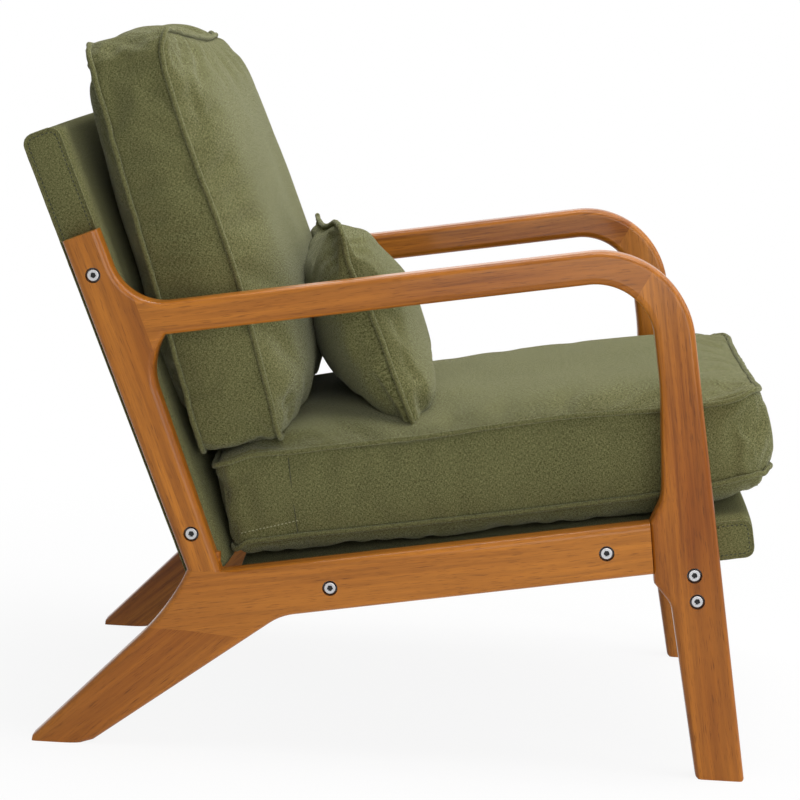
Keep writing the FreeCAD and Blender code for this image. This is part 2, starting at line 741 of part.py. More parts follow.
def leaned(shapes, lean, place, turn=0.0, roll=0.0):
    """Shapes drawn face up, leaned back at a place, after a roll in their own plane."""
    moved = {}
    for name, shape in shapes.items():
        shape = shape.copy()
        shape.rotate(Vector(0, 0, 0), Vector(0, 0, 1), roll)
        moved[name] = laid(shape, 180 - lean, place, turn)
    return moved


# The back cushion is set against the back panel, then let down along it onto the seat cushion
panel_face = beside(post_rear, panel_thickness + panel_crown - back_panel_overhang + panel_under_pad)
seat_face = beside(rail_under, -(cushion_seams[1] + seat_cushion_crown))
start = step(meet(panel_face, seat_face), back_cushion_lean, settle_start)
start = step(start, back_cushion_lean - 90, back_cushion_rear_crown + settle_start)
seat_shapes = [on_seat(seat_cushion_form()), pieces["seat_cushion_piping"]]
back_cushion = leaned(dict(back_cushion, form=back_cushion_form()), back_cushion_lean, start)
falling = [back_cushion.pop("form"), back_cushion["piping"].copy()]
panel_shapes = [on_back(back_panel_form())]
move = settled(falling, panel_shapes, back_cushion_lean + 90)
move += settled(falling, seat_shapes, back_lean + 180)
move += settled(falling, panel_shapes, seat_slope + 180)
move += settled(falling, seat_shapes, back_lean + 180)
for name, piece in back_cushion.items():
    piece.translate(move)
    pieces["back_cushion_" + name] = piece

# The pillow is set against the back cushion, then let down onto the seat cushion
pillow = leaned(dict(pillow, form=pillow_form()), pillow_lean, pillow_start, pillow_turn, pillow_roll)
leaning = [pillow.pop("form"), pillow["piping"].copy()]
move = settled(leaning, falling[:1], back_cushion_lean + 90)
move += settled(leaning, seat_shapes[:1], back_cushion_lean + 180)
move += settled(leaning, falling[:1], seat_slope + 180)
move += settled(leaning, seat_shapes[:1], back_cushion_lean + 180)
for name, piece in pillow.items():
    piece.translate(move)
    pieces["lumbar_pillow_" + name] = piece

# Centre the chair on the origin from front to back, and write one file per piece
in_order = sorted(pieces.values(), key=lambda piece: piece.BoundBox.YMin)
front = min(piece.optimalBoundingBox().YMin for piece in in_order[:4])
in_order = sorted(pieces.values(), key=lambda piece: piece.BoundBox.YMax)
rear = max(piece.optimalBoundingBox().YMax for piece in in_order[-4:])
os.makedirs("parts", exist_ok=True)
for name, piece in sorted(pieces.items()):
    piece = piece.copy()
    piece.translate(Vector(0, -(front + rear) / 2, 0))
    piece.exportStep("parts/" + name + ".step")
print(len(pieces), "pieces; depth", round(rear - front, 1))
print("centre moved by", round(-(front + rear) / 2, 2))
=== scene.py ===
# %% [markdown]
# # An accent chair, dressed around its CAD frame
# The chair has two glued side frames of lacquered wood, with an upholstered seat panel and
# back panel bolted between them. On those lie three loose soft pieces: a boxed seat cushion,
# a boxed back cushion and a small lumbar pillow, all in one heathered olive cloth.
# The wood, the bolts and the joints come from the CAD model and stay where they are. This
# script gives them their finish, and makes every soft piece again as sewn, filled cloth.

# %% Load the frame
import math

import bpy
import numpy as np
from mathutils import Matrix, Vector
from mathutils.bvhtree import BVHTree


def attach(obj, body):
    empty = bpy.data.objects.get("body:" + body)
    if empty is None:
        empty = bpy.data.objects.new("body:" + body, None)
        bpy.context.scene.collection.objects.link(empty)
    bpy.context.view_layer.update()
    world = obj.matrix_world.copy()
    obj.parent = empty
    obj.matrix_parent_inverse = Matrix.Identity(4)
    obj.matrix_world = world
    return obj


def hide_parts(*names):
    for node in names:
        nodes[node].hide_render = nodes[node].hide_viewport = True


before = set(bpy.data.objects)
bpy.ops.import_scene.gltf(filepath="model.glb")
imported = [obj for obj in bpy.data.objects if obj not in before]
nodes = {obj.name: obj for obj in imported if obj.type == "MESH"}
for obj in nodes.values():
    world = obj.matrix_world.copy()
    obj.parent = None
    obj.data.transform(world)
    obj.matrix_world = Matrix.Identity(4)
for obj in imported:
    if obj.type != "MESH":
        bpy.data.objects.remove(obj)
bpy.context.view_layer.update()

# %% [markdown]
# ## Where everything is
# The CAD model is centred from front to back, so this script needs to know where its datum
# line, the middle of the seat rail, ended up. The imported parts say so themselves: the rear
# posts stand on the knee of the frame, a known distance behind the datum.
# From there, each soft piece gets a flat sheet of its own to be drawn on, with an origin and
# three directions, as it has in the CAD source.

# %% Local frames
KNEE_BEHIND_DATUM = 0.3215
KNEE_HEIGHT = 0.202
POST_LEAN = math.radians(113.0)
SEAT_SLOPE = math.radians(9.8)
RAIL_UNDERSIDE = 0.1933


def coordinates(thing):
    """A piece's vertices, one row for each."""
    values = np.zeros(len(thing.data.vertices) * 3)
    thing.data.vertices.foreach_get("co", values)
    return values.reshape(-1, 3)


# The post's lowest point, and of equally low ones the rearmost
post = coordinates(nodes["back_post_right"])
knee_y = post[np.argmin(post[:, 2] * 100 - post[:, 1]), 1]
datum_y = knee_y - KNEE_BEHIND_DATUM


class Sheet:
    """A flat drawing board in the chair: across it, up it, and out of its face."""

    def __init__(self, origin, up_angle, turn=0.0, roll=0.0):
        up = Vector((0, -math.cos(up_angle), math.sin(up_angle)))
        across = Vector((1, 0, 0))
        out = across.cross(up)
        axes = Matrix((across, up, out)).transposed()
        axes = Matrix.Rotation(turn, 3, "Z") @ axes @ Matrix.Rotation(roll, 3, "Z")
        self.axes = np.array(axes)
        self.origin = np.array(origin, float)

    def place(self, local):
        return np.asarray(local) @ self.axes.T + self.origin

    def flatten(self, world):
        return (np.asarray(world) - self.origin) @ self.axes

    def span(self, name, axis):
        """How far a CAD node reaches along one of the board's directions."""
        along = self.flatten(coordinates(nodes[name]))[:, axis]
        return along.min(), along.max()


seat_board = Sheet((0, datum_y, RAIL_UNDERSIDE), math.pi + SEAT_SLOPE)
back_board = Sheet((0, knee_y, KNEE_HEIGHT), POST_LEAN)
print("datum line at y =", round(datum_y, 4))

# %% [markdown]
# ## The camera
# The photo is taken almost exactly from the chair's right side, a little from above, with a
# long lens. A camera is a place, three directions and a focal length, so those are given
# directly.

# %% Camera
CAMERA_FROM_SIDE = 3.2315
CAMERA_HEIGHT = 0.8604
YAW, PITCH, ROLL = 0.02981148, 0.14018369, 0.0506541
HALF_WIDTH = 0.321


def add(name, data):
    """A new object in the scene."""
    thing = bpy.data.objects.new(name, data)
    bpy.context.scene.collection.objects.link(thing)
    return thing


ahead_flat = np.array([math.cos(YAW), math.sin(YAW), 0.0])
right_flat = np.array([math.sin(YAW), -math.cos(YAW), 0.0])
ahead = ahead_flat * math.cos(PITCH) - np.array([0, 0, 1.0]) * math.sin(PITCH)
up_flat = np.array([0, 0, 1.0]) * math.cos(PITCH) + ahead_flat * math.sin(PITCH)
right = right_flat * math.cos(ROLL) + up_flat * math.sin(ROLL)
up = up_flat * math.cos(ROLL) - right_flat * math.sin(ROLL)
camera = add("camera", bpy.data.cameras.new("camera"))
camera.data.sensor_width = 36.0
camera.data.lens = 135.0
camera.data.clip_end = 50.0
camera.rotation_mode = "QUATERNION"
camera.location = (-HALF_WIDTH - CAMERA_FROM_SIDE, datum_y, CAMERA_HEIGHT)
camera.rotation_quaternion = Matrix((right, up, -ahead)).transposed().to_quaternion()
bpy.context.scene.camera = camera
print("camera", [round(v, 3) for v in camera.location])

# %% [markdown]
# ## A small kit for materials
# Each finish is a tree of nodes that ends in one Principled shader. These helpers keep the
# recipes short: a node by its kind and settings, with each input given as a value or as the
# output that it is linked to. Every tree of this script, the floor's and the world's too, is
# built with them.

# %% Nodes
def set_sockets(tree, node, values):
    """Links each socket to the output that is given for it, or else sets its value."""
    for socket, value in values.items():
        if isinstance(value, bpy.types.NodeSocket):
            tree.links.new(value, node.inputs[socket])
        else:
            node.inputs[socket].default_value = value


def add_node(tree, kind, values=None, **settings):
    node = tree.nodes.new(kind)
    for name, value in settings.items():
        setattr(node, name, value)
    set_sockets(tree, node, values or {})
    return node


# %% Finishes
class Finish:
    """A material with its Principled shader, built node by node."""

    def __init__(self, name, roughness, **settings):
        self.material = bpy.data.materials.new(name)
        self.material.use_nodes = True
        self.tree = self.material.node_tree
        self.shader = self.tree.nodes["Principled BSDF"]
        set_sockets(self.tree, self.shader, {"Roughness": roughness, **settings})

    def node(self, kind, values=None, output=0, **settings):
        return add_node(self.tree, "ShaderNode" + kind, values, **settings).outputs[output]

    def own_place(self):
        """Object coordinates: a solid pattern that stays with its piece."""
        return self.node("TexCoord", output=3)

    def scaled(self, vector, scale, turn=(0, 0, 0)):
        return self.node("Mapping", {"Vector": vector, "Scale": scale, "Rotation": turn})

    def noise(self, vector, scale, detail=3.0, rough=0.5):
        return self.node("TexNoise", {"Vector": vector, "Scale": scale, "Detail": detail,
                                      "Roughness": rough})

    def ramp(self, value, low, high, start=0.0, end=1.0):
        return self.node("MapRange", {"Value": value, "From Min": low, "From Max": high,
                                      "To Min": start, "To Max": end})

    def math(self, operation, first, second):
        return self.node("Math", {0: first, 1: second}, operation=operation)

    def mix(self, share, first, second):
        return self.node("Mix", {0: share, 6: first, 7: second}, output=2, data_type="RGBA")

    def bump(self, height, distance, strength=1.0):
        return self.node("Bump", {"Height": height, "Distance": distance, "Strength": strength})

    def done(self, **values):
        set_sockets(self.tree, self.shader, values)
        return self.material


def srgb(red, green, blue):
    """A colour read from the photo in 0 to 255, made linear."""
    return tuple((v / 255 / 12.92) if v < 10.3 else ((v / 255 + 0.055) / 1.055) ** 2.4
                 for v in (red, green, blue)) + (1.0,)


print("node kit ready")

# %% [markdown]
# ## Light, floor and background
# Product photos of furniture are lit by large soft boxes. A wide one and a narrow strip
# overhead make the pale bloom on the cloth's upper faces and the bright line along the wood's
# rounded edges, and three others fill in from the camera's side, the front and the far side.
# The white background is in the world and the floor as the camera sees them, so it puts no
# extra light on the chair.

# %% Light
def soft_box(name, place, aim, size, power):
    light = bpy.data.lights.new(name, "AREA")
    light.shape = "RECTANGLE"
    light.size, light.size_y = size
    light.energy = power
    lamp = add(name, light)
    lamp.location = place
    lamp.rotation_euler = (Vector(aim) - Vector(place)).to_track_quat("-Z", "Y").to_euler()


soft_box("overhead_box", (0.3, -0.8, 2.9), (0, 0, 0.4), (2.6, 2.6), 50)
soft_box("overhead_strip", (-0.35, -0.2, 2.6), (-0.2, 0, 0.4), (0.30, 2.4), 22)
soft_box("camera_side_box", (-3.0, -0.9, 1.0), (0, 0, 0.4), (2.2, 1.6), 38)
soft_box("front_box", (-0.2, -2.8, 2.1), (0, 0, 0.4), (2.0, 1.8), 30)
soft_box("far_side_box", (2.6, 0.6, 1.9), (0, 0, 0.5), (1.8, 1.8), 12)

# %% Background
def sees_background(tree):
    """1 where the camera, a mirror or a glass looks, 0 for the light that falls on the chair."""
    path = add_node(tree, "ShaderNodeLightPath")
    total = path.outputs["Is Camera Ray"]
    for ray in ("Is Glossy Ray", "Is Transmission Ray"):
        either = add_node(tree, "ShaderNodeMath", {0: total, 1: path.outputs[ray]}, operation="MAXIMUM")
        total = either.outputs[0]
    return total


world = bpy.data.worlds.new("studio")
bpy.context.scene.world = world
world.use_nodes = True
tree = world.node_tree
fill = tree.nodes["Background"]
set_sockets(tree, fill, {"Color": (0.93, 0.96, 1.0, 1), "Strength": 0.18})
white = add_node(tree, "ShaderNodeBackground", {"Color": (1, 1, 1, 1)})
chosen = add_node(tree, "ShaderNodeMixShader",
                  {"Fac": sees_background(tree), 1: fill.outputs[0], 2: white.outputs[0]})
set_sockets(tree, tree.nodes["World Output"], {0: chosen.outputs[0]})
bpy.context.scene.view_settings.view_transform = "Standard"

# %% Floor
FLOOR_REACH = 9.0
FADE_START, FADE_END = 0.5, 1.5
floor_mesh = bpy.data.meshes.new("floor")
edges = [(-1, -1), (1, -1), (1, 1), (-1, 1)]
floor_mesh.from_pydata([(x * FLOOR_REACH, y * FLOOR_REACH, 0) for x, y in edges], [], [(0, 1, 2, 3)])
add("floor", floor_mesh)
paper = Finish("floor_paper", 0.9, **{"Base Color": (0.86, 0.86, 0.86, 1), "Specular IOR Level": 0.1})
glow = paper.node("Emission", {"Strength": 1.0})
distance = paper.node("VectorMath", {0: paper.own_place()}, output=1, operation="LENGTH")
fade = paper.node("MapRange", {"Value": distance, "From Min": FADE_START, "From Max": FADE_END,
                               "To Min": 0.90, "To Max": 1.0}, interpolation_type="SMOOTHSTEP")
share = paper.math("MULTIPLY", sees_background(paper.tree), fade)
blend = paper.node("MixShader", {"Fac": share, 1: paper.shader.outputs[0], 2: glow})
set_sockets(paper.tree, paper.tree.nodes["Material Output"], {0: blend})
floor_mesh.materials.append(paper.material)
print("floor and", len(bpy.data.lights), "soft boxes")

# %% [markdown]
# ## The cloth
# The chair's cloth is a heavy linen-look weave of two olive yarns. From a step away it reads
# as a fine speckle, with short slubs along both thread directions. The pattern follows the
# cloth, so it uses each piece's UV map, laid out in metres: one unit is one metre of cloth.
# A sheen layer gives the pale bloom that fibres show at a low angle.

# %% Cloth finish
def cloth(name, dark, pale, thread=0.00078, turn=0.0, sheen=0.40):
    """A two-tone weave; thread is the size of its yarns in metres."""
    finish = Finish(name, 0.92, **{"Specular IOR Level": 0.08, "Sheen Roughness": 0.42,
                                   "Sheen Tint": (0.84, 0.86, 0.64, 1)})
    sheet = finish.scaled(finish.node("UVMap"), (1 / thread, 1 / thread, 1), (0, 0, turn))
    across = finish.noise(finish.scaled(sheet, (0.30, 1.1, 1)), 1.0, 2.0, 0.62)
    along = finish.noise(finish.scaled(sheet, (1.1, 0.26, 1)), 1.0, 2.0, 0.62)
    speckle = finish.noise(sheet, 1.5, 2.0, 0.75)
    patches = finish.noise(sheet, 0.012, 2.0, 0.5)
    yarn = finish.math("MULTIPLY", across, along)
    yarn = finish.math("ADD", yarn, finish.math("MULTIPLY", speckle, 0.55))
    share = finish.ramp(yarn, 0.42, 0.64)
    bloom = finish.ramp(yarn, 0.40, 0.66, 0.10 * sheen, 1.9 * sheen)
    colour = finish.mix(share, dark, pale)
    colour = finish.mix(finish.ramp(patches, 0.3, 0.7, 0.0, 0.10), colour, pale)
    wave = {"Vector": sheet, "Scale": 0.5, "Distortion": 1.1, "Detail": 2.0, "Detail Scale": 0.6}
    weft, warp = (finish.node("TexWave", wave, output=1, wave_type="BANDS", bands_direction=way)
                  for way in "XY")
    weave = finish.math("MULTIPLY", weft, warp)
    relief = finish.math("ADD", finish.math("MULTIPLY", weave, 0.6), finish.math("MULTIPLY", yarn, 0.9))
    return finish.done(**{"Base Color": colour, "Sheen Weight": bloom,
                          "Normal": finish.bump(relief, 0.00028, 0.9)})


OLIVE_DARK = srgb(55, 55, 28)
OLIVE_PALE = srgb(136, 135, 90)
olive_cloth = cloth("olive_linen", OLIVE_DARK, OLIVE_PALE)
panel_cloth = cloth("olive_linen_pulled_tight", OLIVE_DARK, OLIVE_PALE, sheen=0.10)
piping_cloth = cloth("olive_linen_on_the_bias", OLIVE_DARK, OLIVE_PALE, turn=math.radians(45))
lining = cloth("black_lining", (0.012, 0.012, 0.012, 1), (0.03, 0.03, 0.03, 1), 0.0007, sheen=0.1)
tape = cloth("zip_tape", srgb(62, 63, 38), srgb(84, 84, 55), 0.0006, sheen=0.2)

spun = Finish("olive_thread", 0.6, **{"Specular IOR Level": 0.3, "Sheen Weight": 0.2})
twist = spun.noise(spun.scaled(spun.own_place(), (900, 900, 900)), 1.0)
olive_thread = spun.done(**{"Base Color": spun.mix(twist, srgb(34, 36, 20), srgb(52, 54, 32)),
                            "Normal": spun.bump(twist, 0.0002)})
print("five cloths and a thread")

# %% [markdown]
# ## The wood
# The frames are rubberwood or a wood like it, stained orange-brown and lacquered to a satin
# shine. The grain runs along each member, so each gets its own turn of the same recipe: long
# soft streaks, short dark pores, a slow change of tone, and a clear coat on top.

# %% Wood finish
STAINED = (srgb(146, 79, 14), srgb(188, 115, 34), srgb(106, 51, 6), srgb(202, 131, 50), srgb(74, 34, 6))
RAW_BEECH = (srgb(196, 158, 112), srgb(218, 184, 138), srgb(176, 134, 90), srgb(226, 196, 152),
             srgb(138, 98, 62))


def grained_wood(name, grain_turn, seed, tones=STAINED, lacquer=0.24):
    """Wood with its grain along Y, turned by three angles; each seed cuts it from another board."""
    base, warm, streak, light, pore = tones
    finish = Finish(name, 0.34, **{"Coat Weight": lacquer, "Coat Roughness": 0.10,
                                   "Specular IOR Level": 0.14})
    place = finish.node("Mapping", {"Vector": finish.own_place(), "Rotation": grain_turn,
                                    "Location": (seed * 0.37, seed * 0.61, seed * 0.13)})
    wander = finish.noise(finish.scaled(place, (5.0, 1.4, 5.0)), 1.0, 2.0)
    wander = finish.node("VectorMath", {0: wander, 1: (0.03, 0.0, 0.03)}, operation="MULTIPLY")
    bent = finish.node("VectorMath", {0: place, 1: wander}, operation="ADD")
    streaks = finish.noise(finish.scaled(bent, (170, 5.0, 170)), 1.0, 5.0, 0.62)
    bands = finish.noise(finish.scaled(bent, (34, 1.5, 34)), 1.0, 3.0, 0.5)
    pores = finish.noise(finish.scaled(bent, (1300, 48, 1300)), 1.0, 2.0, 0.5)
    pores = finish.ramp(pores, 0.58, 0.70)
    tone = finish.noise(finish.scaled(place, (9, 2.2, 9)), 1.0, 2.0)
    colour = finish.mix(finish.ramp(bands, 0.34, 0.66), base, warm)
    colour = finish.mix(finish.ramp(streaks, 0.38, 0.66, 0.0, 0.75), colour, streak)
    colour = finish.mix(finish.ramp(tone, 0.35, 0.7, 0.0, 0.45), colour, light)
    colour = finish.mix(finish.math("MULTIPLY", pores, 0.55), colour, pore)
    relief = finish.math("SUBTRACT", finish.math("MULTIPLY", streaks, 0.35), pores)
    gloss = finish.ramp(streaks, 0.3, 0.7, 0.30, 0.42)
    return finish.done(**{"Base Color": colour, "Roughness": gloss,
                          "Normal": finish.bump(relief, 0.00006, 0.6)})


def finish_nodes(names, material):
    for name in names:
        nodes[name].data.materials.clear()
        nodes[name].data.materials.append(material)


GRAIN = {"back_post": 113.0, "arm": 9.8, "front_leg": 99.8, "side_rail": 9.8, "rear_leg": 41.0}
for number, (member, angle) in enumerate(GRAIN.items()):
    for place, side in enumerate(("right", "left")):
        stained = grained_wood(f"lacquered_{member}_{side}", (math.radians(angle), 0, 0),
                               number + 0.47 * place + 1)
        finish_nodes([f"{member}_{side}"], stained)
print("finished", 2 * len(GRAIN), "wooden members")

# %% [markdown]
# ## The other hard parts
# The stretcher's grain runs across the chair, so its recipe is turned a quarter about the
# vertical. The battens and boards are raw wood, and the dowels take the stain, because an end
# of one shows at the foot of each rear post. The bolts are bright steel. Their washers are
# darkened to paint the shade in the counterbores, and a small black hexagon at the floor of
# each bolt's socket is painted shade, for the socket's dark centre.

# %% Hard parts
finish_nodes(["front_stretcher"], grained_wood("lacquered_stretcher", (0, 0, math.pi / 2), 9.2))
finish_nodes([n for n in nodes if "batten" in n],
             grained_wood("raw_beech", (0, 0, 0), 3.1, RAW_BEECH, 0.0))
finish_nodes(["dowels_right", "dowels_left"], stained)
finish_nodes([n for n in nodes if n.endswith("_board")],
             grained_wood("birch_plywood", (0, 0, 0), 5.3, RAW_BEECH, 0.0))
LATHE_MARKS = 700


def metal(name, colour, roughness):
    """Turned metal, a little uneven in tone and shine."""
    finish = Finish(name, roughness, Metallic=1.0)
    turned = finish.noise(finish.scaled(finish.own_place(), (LATHE_MARKS,) * 3), 1.0, 2.0)
    duller = tuple(0.82 * c for c in colour[:3]) + (1,)
    return finish.done(**{"Base Color": finish.mix(turned, colour, duller),
                          "Roughness": finish.ramp(turned, 0.3, 0.7, roughness, roughness + 0.12),
                          "Normal": finish.bump(turned, 0.00002, 0.5)})


steel = metal("bright_steel", (0.50, 0.50, 0.51, 1), 0.26)
# Near-black and matte: painted shade for the floors of the bolts' sockets
shadow_black = Finish("socket_painted_shade", 0.7).done(**{"Base Color": (0.012, 0.012, 0.013, 1)})
# The washers are darkened to paint the shade that fills the counterbores round the bolt heads
washer_steel_painted_shade = metal("washer_steel_darkened_for_shade", (0.10, 0.10, 0.105, 1), 0.34)
brass = metal("plain_brass", (0.66, 0.46, 0.18, 1), 0.34)
slider_metal = metal("slider_metal", (0.30, 0.29, 0.26, 1), 0.30)
for side in ("right", "left"):
    finish_nodes(["bolts_" + side], steel)
    finish_nodes(["washers_" + side], washer_steel_painted_shade)
    finish_nodes(["inserts_" + side], brass)
finish_nodes([n for n in nodes if n.endswith("_slider")], slider_metal)
print("finished the hard parts")

# %% The sockets' floors, painted with their shade
# A flat black hexagon just above each socket's floor is painted shade, for the socket's dark centre
RAIL_BOLTS = ((-0.1610, 0.0255), (0.1451, 0.0294), (0.2377, -0.0060), (0.2375, -0.0352))
BACK_BOLTS = ((0.0364, 0.019), (0.3397, 0.019))
HEAD_FACE, SOCKET_DEPTH, HEX_SIZE = 0.0014, 0.0040, 0.0058
FLOOR_THICK, FLOOR_LIFT = 0.00048, 0.00002
centres = [seat_board.place((0, -reach, rise)) for reach, rise in RAIL_BOLTS]
centres += [back_board.place((0, height, reach)) for height, reach in BACK_BOLTS]
angles = np.radians(np.arange(6) * 60 + 30)
hexagon = HEX_SIZE / math.sqrt(3) * np.stack([0 * angles, np.cos(angles), np.sin(angles)], axis=1)
points, faces = [], []
for centre in centres:
    for side in (-1, 1):
        first = len(points)
        for depth in (SOCKET_DEPTH - FLOOR_LIFT - FLOOR_THICK, SOCKET_DEPTH - FLOOR_LIFT):
            shift = np.array([side * (HALF_WIDTH - HEAD_FACE - depth), centre[1], centre[2]])
            points += list(hexagon + shift)
        outer, inner = list(range(first, first + 6)), list(range(first + 6, first + 12))
        walls = [(outer[k], inner[k], inner[(k + 1) % 6], outer[(k + 1) % 6]) for k in range(6)]
        loops = [tuple(outer), tuple(reversed(inner))] + walls
        faces += loops if side > 0 else [tuple(reversed(loop)) for loop in loops]
mesh = bpy.data.meshes.new("socket_floors_painted_shade")
mesh.from_pydata([tuple(p) for p in points], [], faces)
mesh.materials.append(shadow_black)
sockets = add("socket_floors_painted_shade", mesh)
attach(sockets, "chair_frame")
print(len(centres) * 2, "sockets")

# %% [markdown]
# ## How a boxed cushion is sewn
# A boxed cushion is two panels with a strip, the boxing, sewn between them, and a piped seam
# on each edge. The mesh is cut the same way: a grid for each panel, whose border runs along
# the rounded outline, and rows for the boxing that share the borders' vertices. Each patch
# keeps its own UVs in metres, so that the weave runs true on it and breaks at the seams.

# %% Grids and patches
def spread(count, ends=0.3):
    """Even steps from -1 to 1 that crowd a little towards both ends, where the seams are."""
    even = np.linspace(-1, 1, count + 1)
    return (1 - ends) * even + ends * np.sin(even * math.pi / 2)


def rounded_grid(half_width, low, high, corner, pull, counts):
    """A grid of points that fills a rounded rectangle whose sides pull in between its corners.

    The corners are those of the low end and of the high end. The three pulls are those of the
    two sides, of the low end and of the high end.
    """
    middle, half_height = (low + high) / 2, (high - low) / 2
    x, y = np.meshgrid(spread(counts[0]) * half_width, spread(counts[1]) * half_height)
    corner = np.where(y < 0, corner[0], corner[1])
    u = np.clip((np.abs(x) - (half_width - corner)) / corner, 0, 1)
    v = np.clip((np.abs(y) - (half_height - corner)) / corner, 0, 1)
    both = (u > 0) & (v > 0)
    round_x = half_width - corner + corner * u * np.sqrt(1 - v * v / 2)
    round_y = half_height - corner + corner * v * np.sqrt(1 - u * u / 2)
    x = np.where(both, np.sign(x) * round_x, x)
    y = np.where(both, np.sign(y) * round_y, y)
    bow_x = 1 - (y / half_height) ** 2
    bow_y = 1 - (x / half_width) ** 2
    x = x * (1 - pull[0] * bow_x / half_width)
    y = y * (1 - np.where(y < 0, pull[1], pull[2]) * bow_y / half_height)
    return np.stack([x, y + middle], axis=-1)


def border(rows, columns):
    """Row and column numbers round a grid's border, counter-clockwise."""
    path = [(0, c) for c in range(columns)] + [(r, columns) for r in range(rows)]
    path += [(rows, c) for c in range(columns, 0, -1)] + [(r, 0) for r in range(rows, 0, -1)]
    return tuple(np.array(path).T)


def cloth_map(grid):
    """UVs in metres for a grid of points: arc lengths along its rows and columns from its middle."""
    rows, columns = grid.shape[:2]
    across = np.linalg.norm(np.diff(grid, axis=1), axis=2)
    across = np.concatenate([np.zeros((rows, 1)), np.cumsum(across, axis=1)], axis=1)
    along = np.linalg.norm(np.diff(grid, axis=0), axis=2)
    along = np.concatenate([np.zeros((1, columns)), np.cumsum(along, axis=0)], axis=0)
    return np.stack([across - across[:, [columns // 2]], along - along[[rows // 2]]], axis=-1)


def corner_numbers(counts):
    """Where along that border the four corners fall."""
    return [0, counts[0], counts[0] + counts[1], 2 * counts[0] + counts[1]]


def arc_length(loop):
    steps = np.linalg.norm(np.roll(loop, -1, axis=0) - loop, axis=1)
    return np.concatenate([[0], np.cumsum(steps)])


def loop_normals(loop):
    """Directions square to a flat closed loop, pointing out of it, for a counter-clockwise loop."""
    along = np.roll(loop, -1, axis=0) - np.roll(loop, 1, axis=0)
    out = np.stack([along[:, 1], -along[:, 0]], axis=1)
    return out / np.linalg.norm(out, axis=1, keepdims=True)


def moved_out(ring, distance):
    """A closed line moved out of itself, in its own plane."""
    ring = ring.copy()
    ring[:, :2] += loop_normals(ring[:, :2]) * distance
    return ring


def soft_noise(points, size, seed):
    """Smooth bumps about `size` metres across, mostly between -1 and 1, the same every run."""
    points = np.asarray(points, float)
    points = points.reshape(len(points), -1)
    random = np.random.default_rng(seed)
    waves = 28
    heading = random.normal(size=(waves, points.shape[1]))
    heading /= np.linalg.norm(heading, axis=1, keepdims=True)
    length = size * random.uniform(0.75, 1.7, waves)
    phase = random.uniform(0, 2 * math.pi, waves)
    swing = np.sin(points @ (heading / length[:, None]).T * 2 * math.pi + phase)
    return swing.sum(1) / math.sqrt(waves) * 0.8


class Patchwork:
    """Vertices and the patches of faces sewn on them."""

    def __init__(self, name):
        self.name = name
        self.points = []
        self.faces = []
        self.uvs = []

    def add(self, points):
        """Adds points, and returns their numbers in the same layout."""
        first = sum(len(p) for p in self.points)
        flat = points.reshape(-1, 3)
        self.points.append(flat)
        return (first + np.arange(len(flat))).reshape(points.shape[:-1])

    def sew(self, ids, uv, flip=False, wrap=False):
        """Faces over a grid of vertex numbers; a wrapped grid closes on itself along its rows."""
        if wrap:
            ids = np.concatenate([ids, ids[:, :1]], axis=1)
        corners = [(0, 0), (0, 1), (1, 1), (1, 0)]
        if flip:
            corners.reverse()
        rows, columns = ids.shape

        def pick(grid):
            parts = [grid[r:rows - 1 + r, c:columns - 1 + c] for r, c in corners]
            return np.stack(parts, axis=2).reshape(-1, 4, *grid.shape[2:])

        self.faces.append(pick(ids))
        self.uvs.append(pick(uv))

    def build(self):
        mesh = bpy.data.meshes.new(self.name)
        mesh.from_pydata(np.concatenate(self.points).tolist(), [], np.concatenate(self.faces).tolist())
        layer = mesh.uv_layers.new(name="cloth")
        layer.data.foreach_set("uv", np.concatenate(self.uvs).reshape(-1))
        mesh.polygons.foreach_set("use_smooth", [True] * len(mesh.polygons))
        mesh.update()
        return add(self.name, mesh)


def set_coordinates(thing, values):
    thing.data.vertices.foreach_set("co", np.asarray(values, float).reshape(-1))
    thing.data.update()


# %% [markdown]
# ## Filling the cloth
# The plump look of a cushion comes from cloth that is a little too large for the foam inside,
# held along its seams. Blender's cloth gives just that: the seam vertices are pinned, the
# cloth is told it is a few percent larger than it was cut, and a pressure from inside stands
# in for the foam. It wrinkles by itself where the seams hold it. The seat cushion's underside
# is pinned too, because it lies on the panel. How far a point may move is capped, so that a
# cushion keeps its size and stays off its neighbours.

# %% Cloth simulation
FRAMES = 16
LINEN = {"quality": 6, "mass": 0.12, "tension_stiffness": 22, "compression_stiffness": 22,
         "shear_stiffness": 8, "bending_stiffness": 1.2, "air_damping": 2.0, "use_pressure": True,
         "pin_stiffness": 1.0}


def fill_cloth(thing, held, pressure, spare, cap):
    """Puffs a cover up from inside: held points stay, and no point moves further than the cap."""
    thing.vertex_groups.new(name="seams").add([int(i) for i in held], 1.0, "REPLACE")
    start = coordinates(thing)
    modifier = thing.modifiers.new("filling", "CLOTH")
    settings = modifier.settings
    for name, value in LINEN.items():
        setattr(settings, name, value)
    settings.uniform_pressure_force = pressure
    settings.shrink_min = -spare
    settings.vertex_group_mass = "seams"
    settings.effector_weights.gravity = 0.0
    modifier.collision_settings.use_collision = False
    modifier.point_cache.frame_start = 1
    modifier.point_cache.frame_end = FRAMES
    scene = bpy.context.scene
    for number in range(1, FRAMES + 1):
        scene.frame_set(number)
    puffed = thing.evaluated_get(bpy.context.evaluated_depsgraph_get())
    moved = np.zeros(len(start) * 3)
    puffed.data.vertices.foreach_get("co", moved)
    move = moved.reshape(-1, 3) - start
    far = np.linalg.norm(move, axis=1, keepdims=True)
    move *= np.tanh(far / cap) * cap / np.maximum(far, 1e-9)
    thing.modifiers.remove(modifier)
    scene.frame_set(1)
    set_coordinates(thing, start + move)
    print(f"{thing.name}: filled, mean move {far.mean() * 1000:.1f} mm, largest {far.max() * 1000:.1f} mm")


